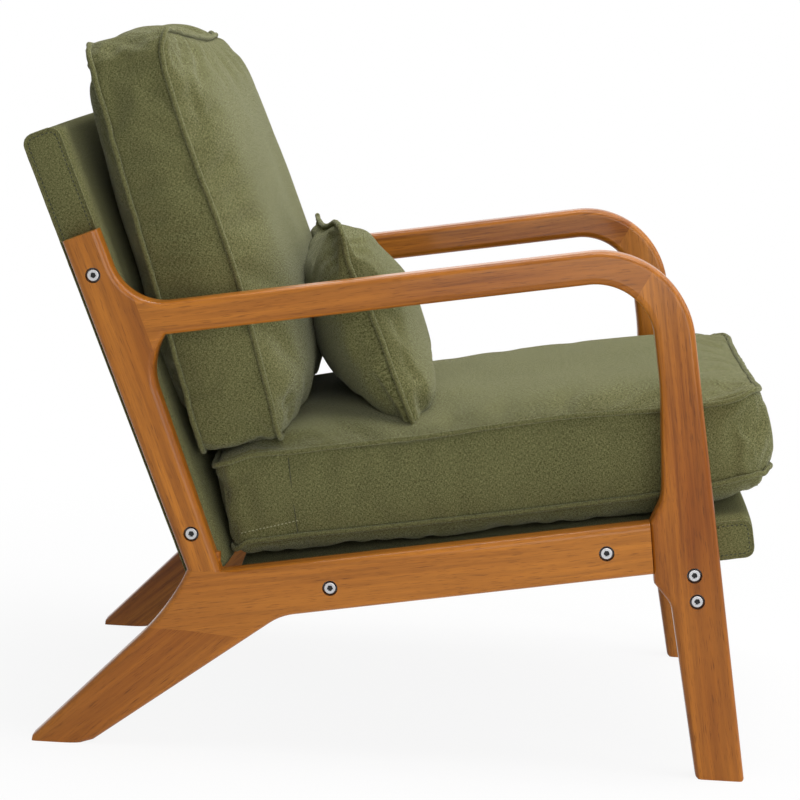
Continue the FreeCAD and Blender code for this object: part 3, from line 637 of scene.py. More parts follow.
def refine(thing):
    """Subdivides a finished piece for good, so that finer folds can be worked into it."""
    modifier = thing.modifiers.new("finer", "SUBSURF")
    modifier.levels = modifier.render_levels = 1
    result = bpy.data.meshes.new_from_object(thing.evaluated_get(bpy.context.evaluated_depsgraph_get()))
    thing.modifiers.clear()
    old, thing.data = thing.data, result
    bpy.data.meshes.remove(old)


def vertex_normals(thing):
    thing.data.update()
    values = np.zeros(len(thing.data.vertices) * 3)
    thing.data.vertex_normals.foreach_get("vector", values)
    return values.reshape(-1, 3)


def dress(thing, material, body, replaced=()):
    """Gives a piece its finish, its CAD body and the CAD nodes that it stands for."""
    thing.data.materials.clear()
    thing.data.materials.append(material)
    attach(thing, body)
    if replaced:
        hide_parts(*replaced)


# %% [markdown]
# ## Piping
# The seams are piped: a cord wrapped in a strip of the cloth, cut on the bias so that it bends
# round corners. It is a round tube along the seam, and its UVs follow the seam too, so the
# weave on it runs at a slant. The tube's line is read from the finished cushion's own seam,
# so the two can't part.

# %% Piping along a closed seam
def face_out(thing, sides):
    """Turns a long piece's faces outwards; its vertices come in rings of so many sides."""
    rings = coordinates(thing).reshape(-1, sides, 3)
    normals = vertex_normals(thing).reshape(-1, sides, 3)
    if ((rings - rings.mean(axis=1, keepdims=True)) * normals).sum() < 0:
        thing.data.flip_normals()


def closed_tube(name, line, radius, sides=10, finer=2, wobble=0.0, seed=0):
    """A tube round a closed line of points in the chair, with UVs in metres."""
    count = len(line) * finer
    place = np.arange(count) / finer
    index = np.floor(place).astype(int)
    t = (place - index)[:, None]
    p = [line[(index + k) % len(line)] for k in (-1, 0, 1, 2)]
    smooth = 0.5 * ((2 * p[1]) + (p[2] - p[0]) * t + (2 * p[0] - 5 * p[1] + 4 * p[2] - p[3]) * t * t
                    + (3 * p[1] - p[0] - 3 * p[2] + p[3]) * t ** 3)
    tangent = np.roll(smooth, -1, axis=0) - np.roll(smooth, 1, axis=0)
    tangent /= np.linalg.norm(tangent, axis=1, keepdims=True)
    flat = np.linalg.svd(smooth - smooth.mean(axis=0))[2][2]
    side = np.cross(tangent, flat)
    side /= np.linalg.norm(side, axis=1, keepdims=True)
    upward = np.cross(side, tangent)
    turn = np.linspace(0, 2 * math.pi, sides, endpoint=False)
    girth = radius * (1 + wobble * soft_noise(arc_length(smooth)[:-1, None], 0.012, seed))
    ring = (np.cos(turn)[None, :, None] * side[:, None] + np.sin(turn)[None, :, None] * upward[:, None])
    points = smooth[:, None] + ring * girth[:, None, None]
    work = Patchwork(name)
    ids = work.add(points)
    ids = np.concatenate([ids, ids[:1]], axis=0)
    around = np.linspace(0, 2 * math.pi * radius, sides + 1)
    work.sew(ids, np.stack(np.meshgrid(around, arc_length(smooth)), axis=-1)[..., ::-1], wrap=True)
    thing = work.build()
    face_out(thing, sides)
    return thing


# %% [markdown]
# ## The boxed cushion itself
# One recipe makes every boxed piece of the chair, the two fixed panels as well. It is drawn
# flat: X across the chair, Y up the piece, Z out of its face. A panel's height over its seam
# rises fast at the edge, where the filling presses against the seam, then slowly to a crown.

# %% Boxed cushion
def crowned(flat, outline, rise):
    """How high a panel stands over its seam: (quick rise, crown, reach of the quick rise)."""
    half_width, (low, high) = outline[0], outline[1:]
    x = flat[..., 0] / half_width
    y = (flat[..., 1] - (low + high) / 2) / ((high - low) / 2)
    gap = np.minimum((1 - np.abs(x)) * half_width, (1 - np.abs(y)) * (high - low) / 2)
    quick, crown, reach = rise
    return (quick * (1 - np.exp(-np.clip(gap, 0, None) / reach))
            + crown * np.clip((1 - x ** 4) * (1 - y ** 4), 0, 1) ** 0.8)


class Boxed:
    """The mesh of a boxed piece, before its cloth is filled.

    The outlines are (half width, low end, high end) of the lower and the upper seam, and the
    levels are their heights. The bulge is a function of the upper seam and its directions out.
    """

    def __init__(self, name, outlines, corner, levels, rises, pulls, bulge, cell=0.008, rows=12, arch=0.75):
        half_width, low, high = outlines[1]
        counts = (round(2 * half_width / cell), round((high - low) / cell))
        self.corners = corner_numbers(counts)
        edge = border(counts[1], counts[0])
        grids = []
        for outline, level, rise, pull, sign in zip(outlines, levels, rises, pulls, (-1, 1)):
            flat = rounded_grid(*outline, corner, pull, counts)
            height = level + sign * crowned(flat, outline, rise)
            grids.append(np.concatenate([flat, height[..., None]], axis=-1))
        work = Patchwork(name)
        self.bottom, top = (work.add(grid) for grid in grids)
        low_ring, high_ring = (grid[edge] for grid in grids)
        out = loop_normals(high_ring[:, :2])
        steps = np.linspace(0, 1, rows + 1)[1:-1, None, None]
        between = low_ring * (1 - steps) + high_ring * steps
        bulged = bulge(high_ring, out)[None, :, None] * out[None]
        between[..., :2] += (4 * steps * (1 - steps)) ** arch * bulged
        self.boxing = np.concatenate([self.bottom[edge][None], work.add(between), top[edge][None]])
        work.sew(top, cloth_map(grids[1]))
        work.sew(self.bottom, cloth_map(grids[0]) + np.array([1.3, 0.7]), flip=True)
        heights = np.linspace(*levels, rows + 1) + 3.1
        work.sew(self.boxing, np.stack(np.meshgrid(arc_length(high_ring), heights), axis=-1), wrap=True)
        self.thing = work.build()
        self.held = np.concatenate([self.boxing[0], self.boxing[-1]])
        self.seams = [coordinates(self.thing)[self.boxing[number]] for number in (0, -1)]

    def seam_lines(self, out):
        """The lines of the two seams' piping: the seams' own vertices moved out by a distance."""
        rings = [coordinates(self.thing)[self.boxing[number]] for number in (0, -1)]
        return [moved_out(ring, out) for ring in rings]


# %% [markdown]
# ## Working on the filled cloth
# After the filling, the finer marks are worked in by moving vertices along their normals:
# puckers that run square to a seam and die away from it, where the thread draws the cloth in,
# and slow unevenness where the filling has settled. All of it is smooth noise with a fixed
# seed, so each run gives the same cushion.

# %% Marks in the cloth
def nearest_seam(points, seam):
    """For each point, its distance to a closed seam line and the arc length where it is nearest."""
    block = 4000
    arc = arc_length(seam)[:-1]
    far, along = np.zeros(len(points)), np.zeros(len(points))
    for start in range(0, len(points), block):
        part = points[start:start + block]
        square = ((part[:, None] - seam[None]) ** 2).sum(-1)
        best = square.argmin(1)
        far[start:start + block] = np.sqrt(square[np.arange(len(part)), best])
        along[start:start + block] = arc[best]
    return far, along


def pucker(thing, seams, depth, reach, pitch, seed):
    """Small folds square to the seams that die away from them."""
    points, normals = coordinates(thing), vertex_normals(thing)
    move = np.zeros(len(points))
    for number, seam in enumerate(seams):
        far, along = nearest_seam(points, seam)
        wave = soft_noise(along[:, None], pitch, seed + number)
        strength = 0.6 + 0.4 * soft_noise(along[:, None], 0.12, seed + 50 + number)
        rise = np.clip(far / (0.25 * reach), 0, 1)
        move += depth * rise * np.exp(-far / reach) * wave * strength
    set_coordinates(thing, points + normals * move[:, None])


def uneven(thing, seams, depth, size, seed):
    """Slow bumps that leave the seams where they are."""
    points, normals = coordinates(thing), vertex_normals(thing)
    near = np.minimum(*(nearest_seam(points, seam)[0] for seam in seams))
    move = depth * soft_noise(points, size, seed) * np.clip(near / 0.03, 0, 1)
    set_coordinates(thing, points + normals * move[:, None])


def gather(thing, corners, depth, reach, folds, seed):
    """Folds that fan out from each corner, where a seam gathers the cloth."""
    points, normals = coordinates(thing), vertex_normals(thing)
    move = np.zeros(len(points))
    for number, corner in enumerate(corners):
        away = points - corner
        far = np.linalg.norm(away[:, :2], axis=1)
        angle = np.arctan2(away[:, 1], away[:, 0])
        wobble = 0.5 * soft_noise(points, 0.05, seed + number)
        strength = np.clip(far / (0.3 * reach), 0, 1) * np.exp(-(far / reach) ** 1.5)
        move += depth * strength * np.sin(folds * 4 * angle + wobble + number)
    set_coordinates(thing, points + normals * move[:, None])


def smooth_step(value, low, high):
    """0 below the low value, 1 above the high one, and a soft ramp between them."""
    share = np.clip((value - low) / (high - low), 0, 1)
    return share * share * (3 - 2 * share)


def hump(value, middle, width):
    """1 at the middle, and a soft bell down to 0 on both sides."""
    return np.exp(-((value - middle) / width) ** 2)


def settle(points, stations, share):
    """Moves points out of the board by a curve of (place up it, lift) stations in millimetres."""
    place, lift = np.array(stations, float).T / 1000
    points = points.copy()
    points[:, 2] += np.interp(points[:, 1], place, lift) * share
    return points


def surface_of(thing):
    faces = [list(face.vertices) for face in thing.data.polygons]
    return BVHTree.FromPolygons(coordinates(thing).tolist(), faces)


def press(thing, other, gap=0.0006):
    """Vertices that lie inside another piece are moved out to its surface."""
    surface = surface_of(other)
    points = coordinates(thing)
    count = 0
    for number, point in enumerate(points):
        place, normal, _, _ = surface.find_nearest(Vector(point))
        if (Vector(point) - place).dot(normal) < gap:
            points[number] = place + normal * gap
            count += 1
    set_coordinates(thing, points)
    print("pressed", count, "points off", other.name)


def joined(name, things):
    """One object from several, keeping their UVs."""
    with bpy.context.temp_override(active_object=things[0], selected_editable_objects=things):
        bpy.ops.object.join()
    things[0].name = name
    return things[0]


def piped(name, lines, seed):
    """The piping of a boxed cushion: a cord along each of its two seams, as one piece."""
    cords = [closed_tube(f"{name}_piping_{number}", line, PIPING_RADIUS, wobble=0.03, seed=seed + number)
             for number, line in enumerate(lines)]
    return joined(name + "_cord", cords)


def lay_on(board, *things):
    """Moves pieces from their drawing board to their place in the chair."""
    for thing in things:
        set_coordinates(thing, board.place(coordinates(thing)))


# %% [markdown]
# ## The seat cushion
# A foam block in a boxed cover: flat below, where it lies on the seat panel, and crowned on
# top. Its front swells a little, and its rear is cut on a slant, to lie along the back cushion.
# It is drawn as cut and sewn, filled, and then settled: its seams sink and lift as in use.

# %% Seat cushion cloth
SEAMS_AT = (0.0830, 0.1770)
SEAT_HALF = 0.269
SEAT_LOW = (SEAT_HALF, -0.335, 0.266)
SEAT_HIGH = (SEAT_HALF, -0.332, 0.276)
PIPING_RADIUS, PIPING_OUT = 0.0031, 0.00325
TOP_SAG = [(-335, 3), (-327, 2), (-290, -4), (-220, -5), (-120, -1), (-50, -3), (40, -6), (120, -5),
           (180, -4), (235, -2), (265, -8), (277, -12)]
LOW_SAG = [(-335, 12), (-325, 8), (-273, 3), (-200, 0), (190, -1), (250, -3), (262, -5), (272, -12)]


def seat_swell(ring, out):
    """The boxing stands proud at the front, and is nearly flat along the sides and rear."""
    return 0.0015 + 0.0075 * np.clip(-out[:, 1], 0, 1) ** 2


def seat_settled(points):
    """The seams as they lie in use: down at the rear corners, up at the front ones."""
    half = SEAT_HALF + 0.006
    at_sides = smooth_step(np.abs(points[:, 0]), 0.4 * half, half)
    above, below = (settle(points, sag, at_sides) for sag in (TOP_SAG, LOW_SAG))
    rest_on = smooth_step(points[:, 2], SEAMS_AT[0] - 0.027, SEAMS_AT[0])[:, None]
    below = points + (below - points) * rest_on
    under = smooth_step(SEAMS_AT[0] - points[:, 2], 0.0, 0.012)
    below[:, 2] += 0.012 * under * smooth_step(-points[:, 1], 0.25, 0.33)
    top = smooth_step(points[:, 2], *SEAMS_AT)[:, None]
    return above * top + below * (1 - top)


seat = Boxed("seat_cushion", (SEAT_LOW, SEAT_HIGH), (0.030, 0.018), SEAMS_AT,
             ((0.0268, 0.0, 0.010), (0.011, 0.009, 0.013)),
             ((0.002, 0.002, 0.002), (0.003, 0.003, 0.003)), seat_swell)
seat_cushion = seat.thing
underside = seat.bottom[6:-6, 6:-6].ravel()
fill_cloth(seat_cushion, np.concatenate([seat.held, underside]), 3.4, 0.035, 0.009)
refine(seat_cushion)
pucker(seat_cushion, seat.seams, 0.0016, 0.016, 0.020, 11)
uneven(seat_cushion, seat.seams, 0.0016, 0.14, 21)
seat_lines = seat.seam_lines(PIPING_OUT)
gather(seat_cushion, seat.seams[1][seat.corners], 0.0012, 0.045, 3, 41)
set_coordinates(seat_cushion, seat_settled(coordinates(seat_cushion)))
seat_piping = piped("seat_cushion", [seat_settled(line) for line in seat_lines], 31)
lay_on(seat_board, seat_cushion, seat_piping)
dress(seat_cushion, olive_cloth, "seat_cushion",
      ("seat_cushion_cover", "seat_cushion_core"))
dress(seat_piping, piping_cloth, "seat_cushion", ("seat_cushion_piping",))
print("seat cushion:", len(seat_cushion.data.polygons), "faces")

# %% [markdown]
# ## The back cushion
# Softer than the seat: its front swells far out and its rear a little. It leans on the back
# panel and stands on the seat cushion, so its lower end is pressed off that one's top, and a
# few level creases show in its side boxing, where it bends. Its board stands where the CAD
# model has this cushion's piping.

# %% Back cushion cloth
BACK_LEAN = math.radians(107.7)
BACK_HALF, BACK_LENGTH, BACK_BOXING = 0.266, 0.451, 0.085
PIPING_REACH = 0.0032
CREASE_PITCH, CREASE_DEPTH = 0.0172, 0.0018
FRONT_SEAM_SET = [(-10, -4), (60, -2), (120, 0), (170, -1), (250, -7), (300, -12), (360, -15), (410, -15),
                  (440, -10), (455, -4)]


def board_for(piping_node, up_angle, turn=0.0, roll=0.0):
    """A board at the right slant, and where a node's lowest and highest corners lie on it."""
    board = Sheet((0, 0, 0), up_angle, turn, roll)
    spans = np.array([board.span(piping_node, axis) for axis in range(3)])
    return board, spans


cushion_board, spans = board_for("back_cushion_piping", BACK_LEAN)
cushion_board.origin = cushion_board.place((0, spans[1, 0] + PIPING_REACH + PIPING_OUT,
                                      spans[2, 0] + PIPING_REACH))


def back_swell(ring, out):
    """The boxing bulges out along the top, where nothing holds it."""
    inward = np.clip(1 - (ring[:, 0] / BACK_HALF) ** 2, 0, 1) ** 0.7
    return 0.002 + 0.011 * np.clip(out[:, 1], 0, 1) ** 2 * inward


def back_settled(points):
    """The back cushion in use: its near front seam leans back, its bottom settles on the seat."""
    points = points.copy()
    share = np.clip(points[:, 2] / BACK_BOXING, 0, 1)
    bottom = 1 - smooth_step(points[:, 1], 0.0, 0.14)
    near_top = smooth_step(-points[:, 0], 0.0, 0.26) * smooth_step(points[:, 1], 0.15, 0.42)
    far_top = smooth_step(points[:, 0], 0.05, 0.26) * smooth_step(points[:, 1], 0.36, 0.45)
    sunk = (0.005 + 0.008 * share) * bottom + 0.013 * far_top * share
    points[:, 1] = -0.002 + points[:, 1] * 1.012 - sunk
    points[:, 2] += 0.006 * bottom * share - 0.003 - 0.004 * near_top * (1 - share)
    return settle(points, FRONT_SEAM_SET, share)


def crease_boxing(thing):
    """Light level creases in the side boxing, where the cushion bends near the arm's height."""
    points, normals = coordinates(thing), vertex_normals(thing)
    bend = 0.004 * np.sin(points[:, 2] / 0.030) + 0.10 * points[:, 2]
    line = np.clip(np.cos(2 * math.pi * (points[:, 1] + bend) / CREASE_PITCH), 0, 1) ** 2
    window = smooth_step(points[:, 1], 0.16, 0.20) * (1 - smooth_step(points[:, 1], 0.25, 0.29))
    side = smooth_step(np.abs(normals[:, 0]), 0.60, 0.85)
    held = smooth_step(points[:, 2], 0.006, 0.022) * (1 - smooth_step(points[:, 2], 0.050, 0.074))
    depth = CREASE_DEPTH * line * window * side * held
    points[:, 0] -= np.sign(points[:, 0]) * depth
    set_coordinates(thing, points)
    print("creased", np.count_nonzero(depth > 0.0005), "points of the side boxing")


outline = (BACK_HALF, 0, BACK_LENGTH)
back = Boxed("back_cushion", (outline, outline), (0.014, 0.026), (0.0, BACK_BOXING),
             ((0.007, 0.012, 0.02), (0.014, 0.040, 0.018)),
             ((0.003, 0.003, 0.004), (0.003, 0.003, 0.025)), back_swell)
back_cushion = back.thing
fill_cloth(back_cushion, back.held, 2.6, 0.05, 0.009)
refine(back_cushion)
pucker(back_cushion, back.seams, 0.0020, 0.020, 0.024, 12)
uneven(back_cushion, back.seams, 0.0024, 0.12, 22)
gather(back_cushion, back.seams[1][back.corners], 0.0011, 0.060, 3, 42)
back_piping = piped("back_cushion", [back_settled(line) for line in back.seam_lines(PIPING_OUT)], 33)
crease_boxing(back_cushion)
set_coordinates(back_cushion, back_settled(coordinates(back_cushion)))
lay_on(cushion_board, back_cushion, back_piping)
press(back_cushion, seat_cushion, 0.0012)
dress(back_cushion, olive_cloth, "back_cushion",
      ("back_cushion_cover", "back_cushion_core"))
dress(back_piping, piping_cloth, "back_cushion", ("back_cushion_piping",))
print("back cushion:", len(back_cushion.data.polygons), "faces")

# %% [markdown]
# ## The lumbar pillow
# A knife-edged pillow: two panels and one piped seam. With no boxing to take up its thickness,
# the cloth gathers at the four corners, and the long sides pull in between them. It stands on
# a tip that dents the seat cushion, and leans on the back cushion.

# %% Lumbar pillow cloth
PILLOW_HALF, PILLOW_RISE, PILLOW_SLUMP = 0.231, 0.121, 0.030


class KnifeEdged:
    """Two panels that share one seam; the slump moves their fullest place down."""

    def __init__(self, name, half, rise, corner, pull, crowns, slump):
        cell = 0.006
        counts = (round(2 * half / cell), round(2 * rise / cell))
        self.corners = corner_numbers(counts)
        edge = border(counts[1], counts[0])
        flat = rounded_grid(half, -rise, rise, corner, (pull, pull, pull), counts)
        x, y = np.abs(flat[..., 0]) / half, flat[..., 1] / rise
        y = np.abs(y + slump / rise * (1 - y * y))
        shape = np.clip((1 - x ** 2.6) * (1 - y ** 2.2), 0, 1) ** 0.62
        inner = (slice(1, -1), slice(1, -1))
        front, rear = (np.concatenate([flat, (height * shape)[..., None]], axis=-1)
                       for height in (crowns[0], -crowns[1]))
        front[edge[0], edge[1], 2] = 0
        work = Patchwork(name)
        ids = work.add(front)
        self.rear = ids.copy()
        self.rear[inner] = work.add(rear[inner])
        work.sew(ids, cloth_map(front))
        work.sew(self.rear, cloth_map(rear) + np.array([2.1, 0.4]), flip=True)
        self.held = ids[edge]
        self.thing = work.build()
        self.seam = coordinates(self.thing)[self.held]


pillow_board, spans = board_for("lumbar_pillow_piping", *np.radians((113.0, 5.0, -0.6)))
pillow_board.origin = pillow_board.place(spans.mean(axis=1))
pillow = KnifeEdged("lumbar_pillow", PILLOW_HALF, PILLOW_RISE, (0.024, 0.020), 0.012, (0.053, 0.064),
                    PILLOW_SLUMP)
lumbar_pillow = pillow.thing
fill_cloth(lumbar_pillow, pillow.held, 3.2, 0.06, 0.010)
refine(lumbar_pillow)
pucker(lumbar_pillow, [pillow.seam], 0.0008, 0.020, 0.026, 13)
gather(lumbar_pillow, pillow.seam[pillow.corners[2:]], 0.0016, 0.055, 3, 43)
print("lumbar pillow:", len(lumbar_pillow.data.polygons), "faces")

# %% The pillow in its place
DENT_DEPTH, DENT_REACH = 0.012, 0.060


def pillow_settled(points):
    """The pillow slumps: down a little, its top edge bent back, its far top corner lowest."""
    points = points.copy()
    far_share = smooth_step(points[:, 0], -PILLOW_HALF, PILLOW_HALF)
    top_share = smooth_step(points[:, 1], -0.06, PILLOW_RISE)
    points[:, 1] -= 0.008 + 0.003 * top_share + 0.024 * far_share * top_share
    points[:, 2] -= 0.005 + 0.005 * hump(points[:, 1], 0.055, 0.035)
    points[:, 2] -= 0.020 * far_share * top_share
    near = smooth_step(-points[:, 0], 0.10, 0.23)
    low_share = smooth_step(-points[:, 1], 0.05, 0.125)
    high_share = smooth_step(points[:, 1], 0.05, 0.105)
    points[:, 1] -= near * (0.023 * low_share + 0.010 * high_share)
    up = points[:, 1]
    full = 0.009 * hump(up, -0.118, 0.028) + 0.008 * hump(up, 0.085, 0.030) - 0.006 * hump(up, -0.05, 0.04)
    inside = 1 - smooth_step(np.abs(points[:, 0]), 0.205, 0.232)
    points[:, 2] += full * smooth_step(points[:, 2], 0.0, 0.02) * inside
    return points


def dent(tip):
    """A shallow dent in the seat cushion's top, round the place where the pillow's tip stands."""
    tip = seat_board.flatten(tip)
    local = seat_board.flatten(coordinates(seat_cushion))
    away = ((local[:, :2] - tip[:2]) ** 2).sum(axis=1) / DENT_REACH ** 2
    local[:, 2] -= DENT_DEPTH * np.exp(-away) * smooth_step(local[:, 2], 0.165, 0.180)
    set_coordinates(seat_cushion, seat_board.place(local))


seam_line = moved_out(coordinates(lumbar_pillow)[pillow.held], PIPING_OUT)
pillow_piping = closed_tube("lumbar_pillow_cord", pillow_settled(seam_line), PIPING_RADIUS, wobble=0.03,
                            seed=35)
set_coordinates(lumbar_pillow, pillow_settled(coordinates(lumbar_pillow)))
lay_on(pillow_board, lumbar_pillow, pillow_piping)
dent(coordinates(lumbar_pillow)[pillow.held[pillow.corners[0]]])
for below in (back_cushion, seat_cushion):
    press(lumbar_pillow, below)
dress(lumbar_pillow, olive_cloth, "lumbar_pillow",
      ("lumbar_pillow_cover", "lumbar_pillow_fill"))
dress(pillow_piping, piping_cloth, "lumbar_pillow", ("lumbar_pillow_piping",))

# %% [markdown]
# ## The two fixed panels
# The seat and back panels are pulled tight over foam and board, so they hardly wrinkle. One
# long piece of cloth wraps each panel from its front round to its rear, and a rounded strip
# closes either side, sewn in with a row of topstitching. So the boxed recipe serves once
# more, turned on its side: the two strips are its panels, and the wrap is its boxing.

# %% Seat panel and back panel
PANEL_HALF = 0.2868
PANEL_THICKNESS = 0.0418
TOPSTITCH_INSET = 0.0048
GROOVE_DEPTH, GROOVE_WIDTH = 0.0009, 0.0020


class Panel:
    """A fixed panel, drawn with its thickness along X and laid over on its side."""

    def __init__(self, name, board, front, rear, base, corner, crowns, end_bulge):
        self.board, self.base = board, base

        def wrap_swell(ring, out):
            face = np.where(out[:, 0] > 0, crowns[1], crowns[0]) * out[:, 0] ** 2
            return face + end_bulge * np.clip(-out[:, 1], 0, 1) ** 2

        outline = (PANEL_THICKNESS / 2, front, rear)
        boxed = Boxed(name, (outline, outline), corner, (-PANEL_HALF, PANEL_HALF),
                      ((0.0005, 0, 0.01),) * 2, ((0, 0, 0),) * 2, wrap_swell,
                      cell=0.0058, rows=72, arch=0.32)
        self.thing, self.seams = boxed.thing, boxed.seams

    def over(self, points):
        """From the drawing on its side to its place in the chair."""
        out = points[:, 0] + PANEL_THICKNESS / 2 + self.base
        return self.board.place(np.stack([-points[:, 2], points[:, 1], out], axis=1))


panels = {}
for name, board, front, rear, base, corner, crowns, end_bulge in (
        ("seat_panel", seat_board, -0.3075, 0.2665, 0.0016, (0.011, 0.011), (0.0, 0.0115), 0.003),
        ("back_panel", back_board, -0.018, 0.506, -0.0069, (0.011, 0.012), (0.0035, 0.0125), 0.0)):
    panel = Panel(name, board, front, rear, base, corner, crowns, end_bulge)
    refine(panel.thing)
    pucker(panel.thing, panel.seams, 0.0006, 0.010, 0.022, 14)
    points = coordinates(panel.thing)
    near = np.minimum(*(nearest_seam(points, seam)[0] for seam in panel.seams))
    drawn_in = GROOVE_DEPTH * hump(near, TOPSTITCH_INSET, GROOVE_WIDTH)
    on_strip = np.abs(points[:, 2]) > PANEL_HALF - 0.0008
    points[:, 2] -= np.sign(points[:, 2]) * drawn_in * on_strip
    set_coordinates(panel.thing, panel.over(points))
    dress(panel.thing, panel_cloth, "chair_frame", (name + "_cover", name + "_foam"))
    panels[name] = panel
    print(name, len(panel.thing.data.polygons), "faces")

# %% [markdown]
# ## Stitches
# A row of stitches is one short rounded bead of thread, repeated along a line at an even
# pitch. Geometry Nodes does the repeating: it walks the line, sets a bead at each step with
# its length along the line and its flat side on the cloth, and gives it the thread's finish.
# The same tree makes the zips' teeth and the staples, with other sizes.

# %% Rows by Geometry Nodes
def bead_tree(material):
    tree = bpy.data.node_groups.new("row_of_beads", "GeometryNodeTree")
    sizes = ("Pitch", "Length", "Width", "Height")
    tree.interface.new_socket("Geometry", in_out="INPUT", socket_type="NodeSocketGeometry")
    for name in sizes:
        tree.interface.new_socket(name, in_out="INPUT", socket_type="NodeSocketFloat")
    tree.interface.new_socket("Geometry", in_out="OUTPUT", socket_type="NodeSocketGeometry")

    def node(kind, values=None, **settings):
        return add_node(tree, kind, values, **settings)

    start = node("NodeGroupInput")
    curve = node("GeometryNodeMeshToCurve", {"Mesh": start.outputs["Geometry"]})
    even = node("GeometryNodeResampleCurve", {"Curve": curve.outputs[0], "Length": start.outputs["Pitch"]},
                mode="LENGTH")
    bead = node("GeometryNodeMeshIcoSphere", {"Radius": 0.5, "Subdivisions": 1})
    size = node("ShaderNodeCombineXYZ", {"X": start.outputs["Height"], "Y": start.outputs["Width"],
                                         "Z": start.outputs["Length"]})
    tangent = node("GeometryNodeInputTangent")
    along = node("FunctionNodeAlignRotationToVector", {"Vector": tangent.outputs[0]}, axis="Z")
    out = node("GeometryNodeInputNamedAttribute", {"Name": "out"}, data_type="FLOAT_VECTOR")
    turned = node("FunctionNodeAlignRotationToVector",
                  {"Rotation": along.outputs[0], "Vector": out.outputs[0]}, axis="X", pivot_axis="Z")
    put = node("GeometryNodeInstanceOnPoints", {"Points": even.outputs[0], "Instance": bead.outputs["Mesh"],
                                                "Rotation": turned.outputs[0], "Scale": size.outputs[0]})
    real = node("GeometryNodeRealizeInstances", {"Geometry": put.outputs[0]})
    paint = node("GeometryNodeSetMaterial", {"Geometry": real.outputs[0], "Material": material})
    node("NodeGroupOutput", {"Geometry": paint.outputs[0]})
    return tree


def beaded(name, rows, material, body, slot, **sizes):
    """Beads along rows, each (points, outward directions, closed)."""
    points, edges, outs = [], [], []
    for line, out, closed in rows:
        first, count = len(points), len(line)
        points += [tuple(p) for p in line]
        outs += [tuple(o) for o in out]
        edges += [(first + k, first + (k + 1) % count) for k in range(count if closed else count - 1)]
    mesh = bpy.data.meshes.new(name + "_guide")
    mesh.from_pydata(points, edges, [])
    mesh.attributes.new("out", "FLOAT_VECTOR", "POINT").data.foreach_set("vector", np.ravel(outs))
    guide = add(name + "_guide", mesh)
    tree = bead_tree(material)
    modifier = guide.modifiers.new("beads", "NODES")
    modifier.node_group = tree
    for item in tree.interface.items_tree:
        if item.name.lower() in sizes and item.in_out == "INPUT":
            modifier[item.identifier] = sizes[item.name.lower()]
    bpy.context.view_layer.update()
    result = bpy.data.meshes.new_from_object(guide.evaluated_get(bpy.context.evaluated_depsgraph_get()))
    bpy.data.objects.remove(guide)
    thing = add(name, result)
    result.shade_smooth()
    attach(thing, body)
    print(name, len(result.polygons) // 20, "beads")


def on_surface(thing, points, lift):
    """Points moved to the nearest place on a piece and lifted off it, and the directions out."""
    surface = surface_of(thing)
    found = [surface.find_nearest(Vector(point))[:2] for point in points]
    outs = np.array([normal for _, normal in found])
    return np.array([place for place, _ in found]) + outs * lift, outs


# %% Topstitching of the panels, and the welts on their edges
for name, panel in panels.items():
    rows = []
    for side, ring in zip((-1, 1), panel.seams):
        inset = panel.over(moved_out(ring, -TOPSTITCH_INSET))
        line, outs = on_surface(panel.thing, inset, 0.0002)
        rows.append((line, outs, True))
        edge = on_surface(panel.thing, panel.over(ring), 0.0004)[0]
        welt = closed_tube(f"{name}_welt_{'near' if side > 0 else 'far'}", edge, 0.0012, sides=6, finer=1)
        dress(welt, piping_cloth, "chair_frame")
    beaded(name + "_topstitch", rows, olive_thread, "chair_frame", "upholstery",
           pitch=0.0050, length=0.0035, width=0.0015, height=0.0009)

# %% [markdown]
# ## The zips
# Each loose cover closes with a zip: the seat cushion's runs along its rear boxing, from corner
# to corner; the back cushion's lies in its bottom boxing; the pillow's lies behind its bottom
# seam. A zip is a woven tape with a row of teeth, laid on the finished cloth. By the seat
# cushion's rear corners a hem crosses the side, held by a row of pale stitches.

# %% Tapes and teeth
TAPE_HALF, TAPE_UNDER, TAPE_OVER, TEETH_LIFT = 0.0030, 0.0003, 0.0011, 0.0013


def zip_on(name, thing, ids, body, replaced):
    """A zip along a line of a piece's own vertices, or midway between two lines of them."""
    line, outs = coordinates(thing)[ids], vertex_normals(thing)[ids]
    if line.ndim == 3:
        line, outs = line.mean(axis=0), outs.mean(axis=0)
    across = np.cross(outs, np.gradient(line, axis=0))
    across *= TAPE_HALF / np.linalg.norm(across, axis=1, keepdims=True)
    under, over = line + outs * TAPE_UNDER, line + outs * TAPE_OVER
    work = Patchwork(name)
    ids = work.add(np.stack([under + across, under - across, over - across, over + across], axis=1))
    wide, thick = 2 * TAPE_HALF, TAPE_OVER - TAPE_UNDER
    around = np.cumsum([0, wide, thick, wide, thick])
    work.sew(ids, np.stack(np.meshgrid(around, arc_length(line)[:-1]), axis=-1), wrap=True)
    end_map = np.stack(np.meshgrid((0, wide), (0, thick)), axis=-1)
    for end, flip in ((0, True), (-1, False)):
        work.sew(ids[end][[[0, 1], [3, 2]]], end_map, flip=flip)
    band = work.build()
    face_out(band, 4)
    dress(band, tape, body, replaced)
    beaded(name + "_teeth", [(line + outs * TEETH_LIFT, outs, False)], slider_metal, body, "zip",
           pitch=0.0018, length=0.0010, width=0.0030, height=0.0010)


def stretch_of(board, thing, ring, keep):
    """The run of places round a ring where a test holds, in order."""
    held = keep(board.flatten(coordinates(thing)[ring]))
    start = next(k for k in range(len(ring)) if held[k] and not held[k - 1])
    return (start + np.arange(np.roll(held, -start).argmin())) % len(ring)


